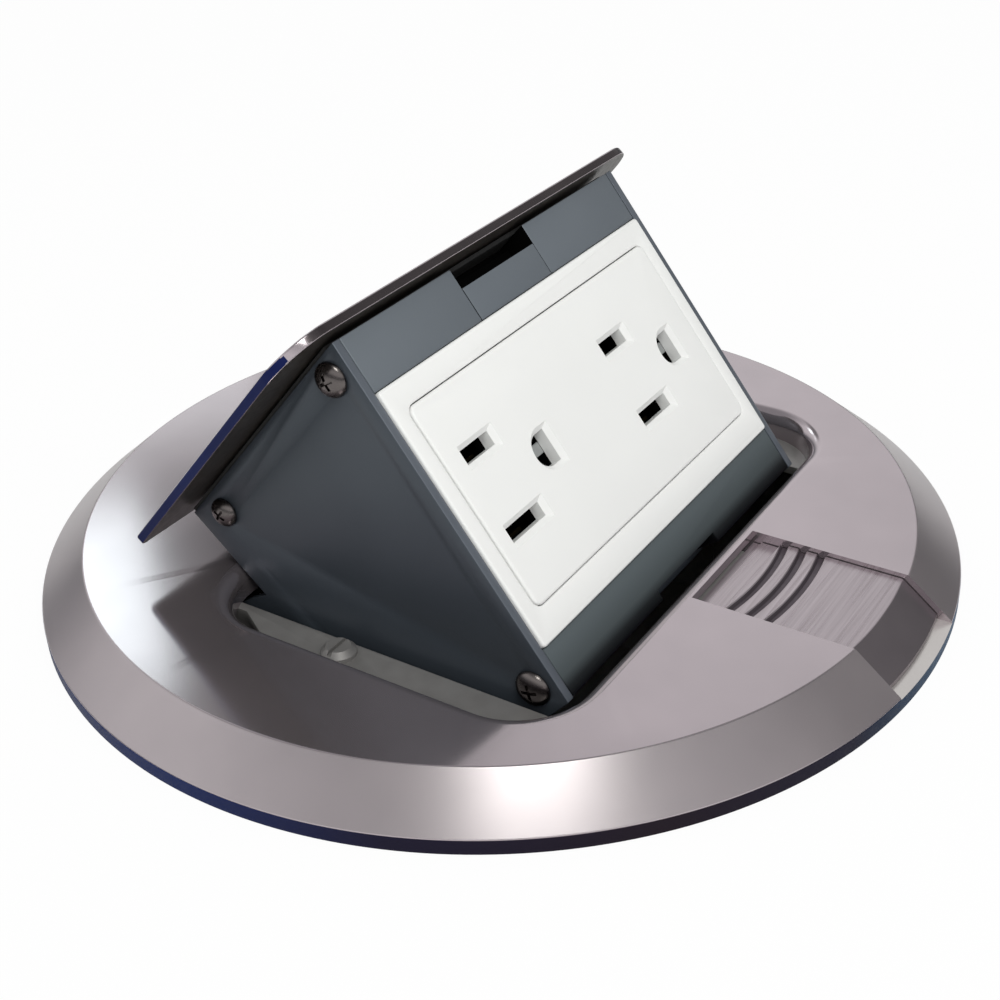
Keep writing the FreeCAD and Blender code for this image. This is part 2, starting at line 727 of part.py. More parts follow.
def make_back_cover():
    cover = new_body("back_cover")
    width = "2 * (head_half - plate_thickness - fit_gap)"
    back = "head_back - fit_gap"
    low = "head_floor + fit_gap"
    front = face_y("face_length", "rail_depth") + " + 3 * fit_gap"
    pad(cover, polygon(cover, "YZ_Plane", "0", [
        (front, low), (back, low), (back, "head_top"), (back + " - sheet_thickness", "head_top"),
        (back + " - sheet_thickness", low + " + sheet_thickness"), (front, low + " + sheet_thickness")]),
        width, both=True)
    pocket(cover, circles(cover, "XZ_Plane", "0", [("0", "knockout_height")], "6.2"),
           "2 * head_back", along=False)
    keep(cover, OPEN)


def make_lid():
    lid = new_body("lid_plate")
    low = "ring_top - lid_thickness"
    pad(lid, rectangle(lid, "XY_Plane", low, "-lid_half", "lid_half", "-lid_front", "lid_back"),
        "lid_thickness")
    soften(lid, "Fillet", "lid_corner", lambda e: upright(e, Z_AXIS))
    top = size("ring_top")
    soften(lid, "Fillet", "0.5", lambda e: at_level(e, Z_AXIS, top))
    pad(lid, circles(lid, "XY_Plane", "head_top - sheet_thickness - 4", stud_spots(), "stud_radius"),
        "ring_top - lid_thickness - head_top + sheet_thickness + 4.1")
    keep(lid, OPEN)
    gasket = new_body("lid_gasket")
    half = "head_half - 0.5"
    pad(gasket, rectangle(gasket, "XY_Plane", "head_top", "-(%s)" % half, half, "face_top_y + 2.2",
                          "head_back"), "ring_top - lid_thickness - head_top")
    pocket(gasket, circles(gasket, "XY_Plane", "ring_top", stud_spots(), "stud_radius + 2 * fit_gap"),
           "ring_top")
    keep(gasket, OPEN)
    nut = new_body("lid_nut_master")
    corners = [("2.9 * cos(%d deg)" % (60 * i), "2.9 * sin(%d deg)" % (60 * i)) for i in range(6)]
    pad(nut, polygon(nut, "XY_Plane", "0", corners), "2.2")
    pocket(nut, circles(nut, "XY_Plane", "3", [("0", "0")], "stud_radius + 0.05"), "5")
    level = size("head_top") - size("sheet_thickness") - 2.2 - 0.05
    places = [OPEN.multiply(place_at(sx * size("stud_x"), y, level)) for sx in (1, -1)
              for y in (size("stud_front"), size("stud_back"))]
    keep(group("lid_nuts", nut, places))


# Face pieces, drawn with their top edge at the origin and the face looking along +Z


def make_rails():
    inside = "2 * (head_half - plate_thickness - fit_gap)"
    top = new_body("top_rail")
    pad(top, polygon(top, "YZ_Plane", "0", [
        ("-rail_height", "0"), ("0", "0"), ("-rail_depth * " + LEAN_SLOPE, "-rail_depth"),
        ("-rail_height", "-rail_depth")]), inside, both=True)
    pocket(top, rectangle(top, "YZ_Plane", "0", "-rail_height - 1", "1", "-notch_depth", "1"),
           "2 * notch_half", both=True)
    rail_spot = [("-(0.5 * rail_height - 0.3)", "-0.5 * rail_depth")]
    hole = pocket(top, circles(top, "YZ_Plane", "head_half", rail_spot, "screw_radius + fit_gap"),
                  "screw_length + 3")
    mirror(top, "YZ_Plane", [hole])
    keep(top, FACE)
    bottom = new_body("bottom_rail")
    pad(bottom, rectangle(bottom, "YZ_Plane", "0", "-face_length", "-bezel_bottom - fit_gap",
                          "-rail_depth", "0"), inside, both=True)
    low_spot = [("-(face_length - 3.7)", "-(0.5 * rail_depth + 0.2)")]
    hole = pocket(bottom, circles(bottom, "YZ_Plane", "head_half", low_spot, "screw_radius + fit_gap"),
                  "screw_length + 3")
    mirror(bottom, "YZ_Plane", [hole])
    pocket(bottom, polygon(bottom, "YZ_Plane", "0", tongue_relief()), "2 * (tongue_half + 1.4)", both=True)
    keep(bottom, FACE)
    keeper = new_body("latch_keeper")
    pad(keeper, polygon(keeper, "YZ_Plane", "0", [
        ("-rail_height", "0"), ("-notch_height", "0"), ("-notch_height", "-1.4"),
        ("-notch_height - 1.5", "-1.4"), ("-notch_height - 1.5", "-notch_depth + 1.6"),
        ("-notch_height + 1.2", "-notch_depth + 1.6"), ("-notch_height + 1.2", "-notch_depth + fit_gap"),
        ("-rail_height", "-notch_depth + fit_gap")]), "2 * notch_half - fit_gap", both=True)
    keep(keeper, FACE)


def tongue_relief():
    """Outline the passage that lets the pushed-in tongue stand under the open head."""
    tip = 1.4 * size("rail_depth") + size("slide_travel") - size("tongue_tip")
    top = size("tongue_low") + size("tongue_thickness") + 0.9
    corners = [(-size("opening_front") - 3, top), (tip, top), (tip, top - 12), (-size("opening_front") - 3, top - 12)]
    inside = [FACE.inverse().multVec(V(0, y, z)) for y, z in corners]
    return [("%.6f" % point.y, "%.6f" % point.z) for point in inside]


def make_bezel():
    bezel = new_body("bezel")
    half = "head_half - plate_thickness - fit_gap"
    front = size("bezel_proud")
    pad(bezel, rectangle(bezel, "XY_Plane", "-bezel_depth", "-(%s)" % half, half, "-bezel_bottom",
                         "-rail_height - fit_gap"), "bezel_depth + bezel_proud")
    soften(bezel, "Fillet", "0.45", lambda e: at_level(e, Z_AXIS, front))
    pocket(bezel, rectangle(bezel, "XY_Plane", "bezel_proud", "-insert_half_u - insert_gap",
                            "insert_half_u + insert_gap", "-face_centre - insert_half_v - insert_gap",
                            "-face_centre + insert_half_v + insert_gap"), "bezel_depth + bezel_proud + 1")
    soften(bezel, "Fillet", "1.6", lambda e: upright(e, Z_AXIS) and abs(e.Vertexes[0].X) < size("insert_half_u") + 1)
    keep(bezel, FACE)


def first_blades():
    """Give the first outlet's blade slot centre, and its ground hole centre, on the face."""
    blade_u = "-(outlet_spacing + ground_offset) / 2"
    return blade_u, "(%s) + ground_offset" % blade_u


def slot_rectangle(body, offset, half_u, half_v, up):
    """Sketch a rectangle on one blade slot of the first outlet."""
    blade_u, ground_u = first_blades()
    centre = "-face_centre %s blade_spread / 2" % ("+" if up else "-")
    return rectangle(body, "XY_Plane", offset, "%s - %s" % (blade_u, half_u), "%s + %s" % (blade_u, half_u),
                     "%s - %s" % (centre, half_v), "%s + %s" % (centre, half_v))


def make_receptacle():
    blade_u, ground_u = first_blades()
    face = new_body("receptacle_face")
    front = size("insert_proud")
    pad(face, rectangle(face, "XY_Plane", "-insert_depth", "-insert_half_u", "insert_half_u",
                        "-face_centre - insert_half_v", "-face_centre + insert_half_v"),
        "insert_depth + insert_proud")
    soften(face, "Fillet", "1.5", lambda e: upright(e, Z_AXIS))
    soften(face, "Fillet", "0.4", lambda e: at_level(e, Z_AXIS, front))
    depth = "insert_depth + insert_proud + 1"
    cuts = [pocket(face, slot_rectangle(face, "insert_proud", long_side + " / 2", "slot_width / 2", up), depth)
            for long_side, up in (("line_slot", True), ("neutral_slot", False))]
    cuts.append(pocket(face, circles(face, "XY_Plane", "insert_proud", [(ground_u, "-face_centre")],
                                     "ground_radius"), depth))
    cuts.append(pocket(face, rectangle(face, "XY_Plane", "insert_proud", ground_u,
                                       ground_u + " + ground_side", "-face_centre - ground_radius",
                                       "-face_centre + ground_radius"), depth))
    row(face, cuts, "outlet_spacing")
    soften(face, "Chamfer", "slot_lead", lambda e: at_level(e, Z_AXIS, front) and inside_insert(e))
    keep(face, FACE)
    # Rear body with a cell behind each slot
    body = new_body("receptacle_body")
    back = "-insert_depth - 0.05"
    pad(body, rectangle(body, "XY_Plane", "-body_back", "-body_half_u", "body_half_u",
                        "-face_centre - body_half_v", "-face_centre + body_half_v"),
        "body_back - insert_depth - 0.05")
    cells = [pocket(body, slot_rectangle(body, back, "5", "2.2", up), "contact_depth") for up in (True, False)]
    cells.append(pocket(body, rectangle(body, "XY_Plane", back, "%s - 3.6" % ground_u, "%s + 3.6" % ground_u,
                                        "-face_centre - 3.6", "-face_centre + 3.6"), "contact_depth"))
    row(body, cells, "outlet_spacing")
    level = "-insert_depth - contact_depth - 2.5"
    spots = [("-outlet_spacing / 2", level), ("outlet_spacing / 2", level)]
    for edge, inward in (("face_centre - body_half_v - 1", False), ("face_centre + body_half_v + 1", True)):
        pocket(body, circles(body, "XZ_Plane", edge, spots, "screw_radius + fit_gap"), "5.4", along=not inward)
    pocket(body, circles(body, "XY_Plane", "-body_back - 1", [("-24", "-face_centre"), ("24", "-face_centre")],
                         "screw_radius + fit_gap"), "4", along=True)
    keep(body, FACE)
    # Spring contacts: a pair of leaves on a base in each cell
    for label, up in (("line_contacts", True), ("neutral_contacts", False)):
        contact = new_body(label)
        floor = "-insert_depth - contact_depth + 0.05"
        block = pad(contact, slot_rectangle(contact, floor, "3.8", "1.9", up), "contact_depth - 1.5")
        gap = pocket(contact, slot_rectangle(contact, floor + " + 1", "5", "0.9", up), "contact_depth", along=True)
        row(contact, [block, gap], "outlet_spacing")
        keep(contact, FACE)
    ground = new_body("ground_contacts")
    floor = "-insert_depth - contact_depth + 0.05"
    block = pad(ground, rectangle(ground, "XY_Plane", floor, "%s - 3" % ground_u, "%s + 3" % ground_u,
                                  "-face_centre - 3.2", "-face_centre + 3.2"), "contact_depth - 1")
    gap = pocket(ground, rectangle(ground, "XY_Plane", floor + " + 1", "%s - 4" % ground_u, "%s + 4" % ground_u,
                                   "-face_centre - 2.4", "-face_centre + 2.4"), "contact_depth", along=True)
    leaf = pad(ground, rectangle(ground, "XY_Plane", floor, "%s + ground_side + 0.4" % ground_u,
                                 "%s + ground_side + 1" % ground_u, "-face_centre - 1.1",
                                 "-face_centre + 1.1"), "contact_depth - 0.6")
    row(ground, [block, gap, leaf], "outlet_spacing")
    keep(ground, FACE)


def inside_insert(edge):
    """Say whether an edge of the insert belongs to a slot and not to its outline."""
    box = edge.BoundBox
    near = size("insert_half_v") - 2
    return abs((box.YMin + box.YMax) / 2 + size("face_centre")) < near and box.XLength < 20 and box.YLength < 20


def make_strap():
    strap = new_body("mounting_strap")
    end = "head_half - plate_thickness - 3 * fit_gap"
    inner = "(%s) - strap_thickness" % end
    lip = "-bezel_depth - fit_gap"
    base = "-body_back - fit_gap"
    pad(strap, polygon(strap, "XZ_Plane", "face_centre - strap_half", [
        (end, lip), (inner, lip), (inner, base), ("-(%s)" % inner, base), ("-(%s)" % inner, lip),
        ("-(%s)" % end, lip), ("-(%s)" % end, base + " - strap_thickness"),
        (end, base + " - strap_thickness")]), "2 * strap_half")
    pocket(strap, circles(strap, "XY_Plane", "-body_back + 1", [("-24", "-face_centre"), ("24", "-face_centre")],
                          "screw_radius + fit_gap"), "strap_thickness + 3")
    keep(strap, FACE)


def make_terminals():
    """Put two screws on each long side of the rear body, and one green one on the strap."""
    screw = make_screw("terminal_screw_master", "3.2", "2.0", "screw_radius", "4", True)
    middle = -size("face_centre")
    level = -size("insert_depth") - size("contact_depth") - 2.5
    reach = size("body_half_v") + 0.1
    for label, side in (("line_terminal_screws", 1), ("neutral_terminal_screws", -1)):
        places = [FACE.multiply(place_at(u, middle + side * reach, level, V(0, side, 0)))
                  for u in (-size("outlet_spacing") / 2, size("outlet_spacing") / 2)]
        keep(group(label, screw, places))
    behind = -size("body_back") - size("fit_gap") - size("strap_thickness")
    places = [FACE.multiply(place_at(u, middle, behind, -Z_AXIS)) for u in (-24, 24)]
    keep(group("strap_screws", screw, places))


def make_side_screws():
    screw = turned_piece("side_screw_master", [
        ("0", "-screw_length"), ("screw_radius", "-screw_length"), ("screw_radius", "0"), ("dome_radius", "0"),
        ("0.94 * dome_radius", "0.4 * dome_height"), ("0.76 * dome_radius", "0.72 * dome_height"),
        ("0.42 * dome_radius", "0.94 * dome_height"), ("0", "dome_height")])
    for half_x, half_y in (("0.3", "1.5"), ("1.5", "0.3")):
        pocket(screw, rectangle(screw, "XY_Plane", "dome_height + 0.2", "-" + half_x, half_x,
                                "-" + half_y, half_y), "1")
    down = [0.5 * size("rail_height") - 0.3, size("face_length") - 3.7]
    back = [0.5 * size("rail_depth"), 0.5 * size("rail_depth") + 0.2]
    spots = [(size("face_top_y") + d * math.sin(LEAN) + b * math.cos(LEAN),
              size("head_top") - d * math.cos(LEAN) + b * math.sin(LEAN)) for d, b in zip(down, back)]
    gap, bar = size("fit_gap"), size("bar_half")
    spots.append((size("upper_bar_y"), size("head_top") - size("sheet_thickness") - gap - bar))
    spots.append((size("lower_bar_y"), size("head_floor") + size("sheet_thickness") + 2 * gap + bar))
    places = [OPEN.multiply(place_at(side * size("head_half"), y, z, V(side, 0, 0)))
              for side in (1, -1) for y, z in spots]
    keep(group("side_screws", screw, places))


def make_strain_relief():
    """Make the cable bushing in the back cover, and its nut."""
    bushing = turned_piece("strain_relief", [
        ("3.8", "-6"), ("6", "-6"), ("6", "0"), ("8.5", "0"), ("8.5", "4"), ("6.6", "6"), ("6", "12"),
        ("3.8", "12")])
    spot = place_at(0, size("head_back"), size("knockout_height"), Y_AXIS)
    keep(bushing, OPEN.multiply(spot))
    nut = new_body("strain_relief_nut")
    corners = [("9 * cos(%d deg)" % (60 * i), "9 * sin(%d deg)" % (60 * i)) for i in range(6)]
    pad(nut, polygon(nut, "XY_Plane", "-sheet_thickness - 2 * fit_gap - 3", corners), "3")
    pocket(nut, circles(nut, "XY_Plane", "1", [("0", "0")], "6.05"), "8")
    keep(nut, OPEN.multiply(spot))


# Latch slide, tongue and guide screw


def make_latch():
    slide = new_body("latch_slide")
    top = "ring_top - slide_sink"
    slope = "(ring_top - rim_height) / bevel_width"
    end_top = "%s - (bevel_width - slide_setback + slide_sink) * %s" % (top, slope)
    bend = CREASE + " - slide_sink"
    under_bend = bend
    low = "channel_floor + fit_gap"
    under_end = SLIDE_OUTER + " - 1.2"
    turn(slide, "Revolution", polygon(slide, "XZ_Plane", "0", [
        ("20", low), (under_bend, low), (under_end, "pocket_floor + fit_gap"),
        (SLIDE_OUTER, "pocket_floor + fit_gap"), (SLIDE_OUTER, end_top), (bend, top), ("20", top)]))
    crease = size("ring_radius") - size("bevel_width") - size("slide_sink")
    level = size("ring_top") - size("slide_sink")
    soften(slide, "Fillet", "crease_round", lambda e: e.Curve.TypeId == "Part::GeomCircle"
           and abs(e.Curve.Radius - crease) < 1e-3 and at_level(e, Z_AXIS, level))
    turn(slide, "Groove", grip_grooves(slide, top))
    # Trim the turned disc to the slide's own outline
    step = "channel_end + slide_travel + slide_gap"
    trim = new_sketch(slide, "XY_Plane", "-5")
    draw_polygon(trim, [("-200", "-200"), ("200", "-200"), ("200", "200"), ("-200", "200")])
    draw_polygon(trim, [("-slide_half", "-ring_radius"), ("slide_half", "-ring_radius"),
                        ("slide_half", "-(%s - step_length)" % step), ("-slide_half", "-(%s - step_length)" % step)])
    pocket(slide, trim, "30", along=True)
    pocket(slide, rectangle(slide, "XY_Plane", "step_top", "-slide_half - 1", "slide_half + 1",
                            "-(%s)" % step, "0"), "5", along=True)
    # Pad that carries the tongue, and the seat of the guide screw
    pad(slide, rectangle(slide, "XY_Plane", "tongue_low + tongue_thickness", "-tongue_half + 1",
                         "tongue_half - 1", "-tongue_tail", "-(%s)" % step),
        "channel_floor + fit_gap - tongue_low - tongue_thickness + 0.01")
    rivets = [("-5", "-tongue_tail + 2.5"), ("5", "-tongue_tail + 2.5")]
    pocket(slide, circles(slide, "XY_Plane", "tongue_low + tongue_thickness", rivets, "1.05"), "1.2", along=True)
    pocket(slide, circles(slide, "XY_Plane", low, [("0", "-guide_y")], "1.05"), "0.9", along=True)
    keep(slide)
    tongue = new_body("latch_tongue")
    pad(tongue, rectangle(tongue, "XY_Plane", "tongue_low", "-tongue_half", "tongue_half", "-tongue_tail",
                          "-tongue_tip"), "tongue_thickness")
    pocket(tongue, circles(tongue, "XY_Plane", "0", rivets, "1.05"), "10", along=True)
    tip = -size("tongue_tip")
    high = size("tongue_low") + size("tongue_thickness")
    soften(tongue, "Chamfer", "0.6", lambda e: upright(e, X_AXIS) and abs(e.Vertexes[0].Y - tip) < 1e-3
           and abs(e.Vertexes[0].Z - high) < 1e-3)
    keep(tongue)
    rivet = turned_piece("tongue_rivet_master", [("0", "0"), ("1", "0"), ("1", "tongue_thickness + 1"),
                                                 ("0", "tongue_thickness + 1")])
    places = [place_at(x, 2.5 - size("tongue_tail"), size("tongue_low")) for x in (-5, 5)]
    keep(group("tongue_rivets", rivet, places))
    guide = turned_piece("guide_screw", [
        ("0", "seat_height + 0.1"), ("2 * guide_radius - slide_gap", "seat_height + 0.1"),
        ("2 * guide_radius - slide_gap", "seat_height + 1.1"), ("guide_radius", "seat_height + 1.1"),
        ("guide_radius", low), ("1", low), ("1", low + " + 0.8"), ("0", low + " + 0.8")])
    keep(guide, place_at(0, -size("guide_y"), 0))


def grip_grooves(slide, top):
    """Sketch the three finger grooves as notches in the turned section."""
    sketch = new_sketch(slide, "XZ_Plane", "0")
    for i in range(3):
        centre = "grip_first + %d * grip_pitch" % i
        draw_polygon(sketch, [
            ("%s - grip_width / 2" % centre, top + " + 0.2"), ("%s - grip_width / 3" % centre, top + " - grip_depth"),
            ("%s + grip_width / 3" % centre, top + " - grip_depth"), ("%s + grip_width / 2" % centre, top + " + 0.2")])
    return sketch


make_trim_ring()
make_ring_gasket()
make_support_frame()
make_floor_can()
make_knockout_plugs()
make_fasteners()
make_hinge()
make_lift_springs()
make_side_plate("side_plate_right", "head_half - plate_thickness")
make_side_plate("side_plate_left", "-head_half")
make_spacer_bars()
make_top_plate()
make_back_cover()
make_lid()
make_rails()
make_bezel()
make_receptacle()
make_strap()
make_terminals()
make_side_screws()
make_strain_relief()
make_latch()
doc.recompute()

# Check every object, then write each sub-part
for item in doc.Objects:
    if "Invalid" in item.State or "Error" in item.State:
        raise ValueError(item.Name + " failed: " + str(item.State))
for label, piece in PARTS.items():
    if piece.Shape.isNull() or not piece.Shape.isValid() or not piece.Shape.Solids:
        raise ValueError(label + " has no valid solid")
for label, piece in PARTS.items():
    piece.Shape.exportStep("parts/%s.step" % label)
print(len(PARTS), "sub-parts written")
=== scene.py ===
import json
import math
import random

import bmesh
import bpy
from mathutils import Matrix, Vector


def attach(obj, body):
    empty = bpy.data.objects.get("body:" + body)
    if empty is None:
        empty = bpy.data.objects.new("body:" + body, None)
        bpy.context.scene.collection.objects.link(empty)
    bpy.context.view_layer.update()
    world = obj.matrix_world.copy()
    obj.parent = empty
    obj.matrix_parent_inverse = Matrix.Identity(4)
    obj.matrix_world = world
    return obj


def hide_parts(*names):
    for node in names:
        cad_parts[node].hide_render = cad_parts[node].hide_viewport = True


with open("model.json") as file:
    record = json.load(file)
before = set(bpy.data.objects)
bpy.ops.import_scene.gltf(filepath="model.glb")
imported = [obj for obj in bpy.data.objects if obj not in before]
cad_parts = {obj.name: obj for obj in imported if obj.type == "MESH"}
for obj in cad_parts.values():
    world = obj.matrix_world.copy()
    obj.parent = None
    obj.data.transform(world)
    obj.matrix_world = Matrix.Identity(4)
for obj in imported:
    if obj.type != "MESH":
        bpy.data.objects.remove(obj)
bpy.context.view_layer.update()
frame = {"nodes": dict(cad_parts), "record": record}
bpy.ops.object.select_all(action="DESELECT")
MM = 0.001

# Sizes in millimetres. Z is up, X runs along the hinge and the latch slide is on the -Y side.
RING_RADIUS, RING_TOP, RIM_HEIGHT, CREASE_RADIUS = 75.0, 8.6, 2.7, 67.7
SEAT_HEIGHT, FRAME_TOP_GAP, SHOULDER_RADIUS, SKIRT_RADIUS = 3.8, 2.3, 62.2, 63.8
GASKET_INNER, GASKET_OUTER, GASKET_DEPTH = 66.5, 72.5, 1
OPENING_HALF, OPENING_FRONT, OPENING_BACK, OPENING_CORNER, EDGE_ROLL = 48.0, 38.4, 22.5, 11.0, 2.5
CHANNEL_HALF, CHANNEL_END, CHANNEL_FLOOR, POCKET_FLOOR = 10.6, 41.2, 6.35, 2.4
RAMP_START, RAMP_FOOT, LIP_UNDERSIDE = 61.0, 65.4, 7.1
TUNNEL_HALF, TUNNEL_START, TUNNEL_FLOOR = 8.2, 54.4, 4.4
SLIDE_HALF, SLIDE_FRONT, SLIDE_END, SLIDE_SINK = 10.4, 41.5, 72.6, 0.8
GROOVE_START, GROOVE_PITCH, GROOVE_DEPTH = 47.9, 3.0, 0.6
STEP_START, STEP_TOP, LIP_START, LIP_TOP = 46.2, 7.0, 42.9, 6.6
LID_HALF, LID_FRONT, LID_BACK, LID_THICKNESS = 46.9, 37.4, 16.8, 1.5
FRONT_CORNER, BACK_CORNER, STUD_RADIUS, STUD_FOOT = 8.0, 1.2, 1.5, 1.1
HINGE = Vector((0, 33.5, -9.2))
OPEN_ANGLE = math.radians(49)
FACE_TOP = Vector((0, -35.3, 6.1))
FACE_LEAN = math.radians(11.64)
FACE_CENTRE, FACE_FRONT, FACE_BACK = -29.7, 0.7, -3.8
FACE_HALF_LONG, FACE_HALF_HIGH, WINDOW_HALF_LONG, WINDOW_HALF_HIGH = 33.35, 16.65, 33.5, 16.8
BEZEL_HALF, BEZEL_LOW, BEZEL_HIGH, BEZEL_BACK, BEZEL_FRONT = 36.4, -51.2, -8.95, -4.5, 0.5
BLADE_HALF_SPACING, BLADE_HALF_WIDTH, SHORT_BLADE, LONG_BLADE = 6.35, 1.15, 3.45, 4.3
EARTH_RADIUS, EARTH_FLAT = 2.7, 1.8
SOCKET_PLACES = ((-25.4, -13.5), (13.5, 25.4))
MOUTH = 0.8
LIT_DEPTH = 2.1
SCREW_RADIUS, SCREW_SIZES, SCREW_SIDE = 3.0, (0.9, 0.95, 0.8, 0.9), 38.0
FLOOR_HOLE, FLOOR_SPREAD = 64, 60


# Places: the head is drawn shut, then turned open about its hinge

def turned_open():
    """Give the turn that opens the shut head."""
    pivot = Matrix.Translation(HINGE * MM)
    return pivot @ Matrix.Rotation(-OPEN_ANGLE, 4, "X") @ pivot.inverted()


def on_face():
    """Give the place of the socket face, with its top edge at the origin and Z pointing out of it."""
    shut = Matrix.Translation(FACE_TOP * MM) @ Matrix.Rotation(math.pi / 2 + FACE_LEAN, 4, "X")
    return turned_open() @ shut


def settle(piece, place):
    """Move a piece to its place and keep the place in its mesh."""
    choose(piece)
    piece.matrix_world = place @ piece.matrix_world
    bpy.ops.object.transform_apply(location=True, rotation=True, scale=True)


# Tools of the bench

def choose(*pieces):
    """Select only these pieces; the last is the active one."""
    bpy.ops.object.select_all(action="DESELECT")
    for piece in pieces:
        piece.select_set(True)
    bpy.context.view_layer.objects.active = pieces[-1]


def mark(kind, wanted):
    """In edit mode, select only the faces or edges that the test picks."""
    bpy.ops.mesh.select_mode(type={"faces": "FACE", "edges": "EDGE"}[kind])
    bpy.ops.mesh.select_all(action="DESELECT")
    mesh = bmesh.from_edit_mesh(bpy.context.object.data)
    for part in getattr(mesh, kind):
        if wanted(part):
            part.select_set(True)
    mesh.select_flush_mode()
    bmesh.update_edit_mesh(bpy.context.object.data)


def edit(piece):
    """Open a piece for editing with all of it selected."""
    choose(piece)
    bpy.ops.object.mode_set(mode="EDIT")
    bpy.ops.mesh.select_mode(type="VERT")
    bpy.ops.mesh.select_all(action="SELECT")


def done():
    """Close the piece that is being edited."""
    bpy.ops.object.mode_set(mode="OBJECT")


def block(name, x, y, z):
    """Add a block between these limits in millimetres."""
    middle = [sum(side) / 2 * MM for side in (x, y, z)]
    bpy.ops.mesh.primitive_cube_add(size=1, location=middle)
    piece = bpy.context.object
    piece.name = name
    piece.scale = [(side[1] - side[0]) * MM for side in (x, y, z)]
    bpy.ops.object.transform_apply(location=True, rotation=True, scale=True)
    return piece


def along(edge, axis):
    """Say whether an edge runs along an axis."""
    run = edge.verts[1].co - edge.verts[0].co
    return abs(run.normalized()[axis]) > 0.999


def level(edge, axis, value):
    """Say whether an edge lies at one level, in millimetres."""
    return all(abs(corner.co[axis] - value * MM) < 2e-6 for corner in edge.verts)


def round_off(piece, amount, segments, wanted):
    """Round the edges that the test picks."""
    edit(piece)
    mark("edges", wanted)
    bpy.ops.mesh.bevel(offset=amount * MM, segments=segments, affect="EDGES", clamp_overlap=True)
    done()


def rod(name, radius, start, length):
    """Add an upright round rod from the middle of its foot."""
    middle = (Vector(start) + Vector((0, 0, length / 2))) * MM
    bpy.ops.mesh.primitive_cylinder_add(vertices=48, radius=radius * MM, depth=length * MM, location=middle)
    piece = bpy.context.object
    piece.name = name
    bpy.ops.object.transform_apply(location=True, rotation=True, scale=True)
    return piece


def turned(name, outline, steps=192):
    """Turn an outline of (radius, height) points round Z."""
    bpy.ops.mesh.primitive_plane_add(size=MM, location=(0, 0, 0))
    piece = bpy.context.object
    piece.name = name
    edit(piece)
    bpy.ops.mesh.merge(type="CENTER")
    here = Vector((outline[0][0], 0, outline[0][1])) * MM
    bpy.ops.transform.translate(value=here)
    for radius, height in outline[1:]:
        there = Vector((radius, 0, height)) * MM
        bpy.ops.mesh.extrude_region_move(TRANSFORM_OT_translate={"value": there - here})
        here = there
    bpy.ops.mesh.select_all(action="SELECT")
    bpy.ops.mesh.spin(steps=steps, angle=2 * math.pi, center=(0, 0, 0), axis=(0, 0, 1))
    bpy.ops.mesh.select_all(action="SELECT")
    bpy.ops.mesh.remove_doubles(threshold=1e-6)
    bpy.ops.mesh.normals_make_consistent(inside=False)
    done()
    return piece


def curve_points(centre, radius, start, end, steps):
    """Give points on an arc of an outline, with its angles in degrees."""
    turn = [math.radians(start + (end - start) * i / steps) for i in range(steps + 1)]
    return [(centre[0] + radius * math.cos(a), centre[1] + radius * math.sin(a)) for a in turn]


def modify(piece, kind, **settings):
    """Add a modifier and apply it."""
    choose(piece)
    modifier = piece.modifiers.new(kind.title(), kind)
    for name, value in settings.items():
        setattr(modifier, name, value)
    bpy.ops.object.modifier_apply(modifier=modifier.name)


def cut(piece, *cutters):
    """Cut other pieces out of this one."""
    for cutter in cutters:
        modify(piece, "BOOLEAN", operation="DIFFERENCE", object=cutter, solver="EXACT")
        bpy.data.objects.remove(cutter, do_unlink=True)


def join(piece, *others):
    """Make one piece of several."""
    choose(*others, piece)
    bpy.ops.object.join()
    return piece


def break_edges(piece, amount, segments=2, angle=32):
    """Take the sharpness off the edges of a piece."""
    modify(piece, "BEVEL", width=amount * MM, segments=segments, limit_method="ANGLE",
           angle_limit=math.radians(angle), harden_normals=False, use_clamp_overlap=True)


def merge_points(piece):
    """Merge the points that lie on each other after a cut."""
    edit(piece)
    bpy.ops.mesh.remove_doubles(threshold=2e-6)
    bpy.ops.mesh.dissolve_degenerate(threshold=1e-6)
    done()


def smooth(piece, angle=32):
    """Shade the curved stretches smoothly."""
    choose(piece)
    bpy.ops.object.shade_smooth_by_angle(angle=math.radians(angle))


def true_flats(piece):
    """Keep the shading of a broad flat from bending towards its rounded edges."""
    modify(piece, "WEIGHTED_NORMAL", weight=100, keep_sharp=True)


def copy_of(piece):
    """Copy a piece with a mesh of its own."""
    twin = piece.copy()
    twin.data = piece.data.copy()
    bpy.context.collection.objects.link(twin)
    return twin


def dress(piece, finish, body, slot, *nodes):
    """Give a piece its finish, its body and the nodes that it stands for; its slot is not used."""
    piece.data.materials.clear()
    piece.data.materials.append(finish)
    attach(piece, body)
    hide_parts(*nodes)


def paint(piece, finish, wanted):
    """Give the faces that the test picks a second finish."""
    piece.data.materials.append(FINISH[finish])
    edit(piece)
    mark("faces", wanted)
    bpy.context.object.active_material_index = len(piece.data.materials) - 1
    bpy.ops.object.material_slot_assign()
    done()


# Finishes

def start_finish(name):
    """Give a new material, its nodes and its shader."""
    finish = bpy.data.materials.new(name)
    finish.use_nodes = True
    return finish, finish.node_tree, finish.node_tree.nodes["Principled BSDF"]


def node(tree, kind, **values):
    """Add a node and set what it holds."""
    made = tree.nodes.new("ShaderNode" + kind)
    for name, value in values.items():
        if name in made.inputs:
            made.inputs[name].default_value = value
        else:
            setattr(made, name, value)
    return made


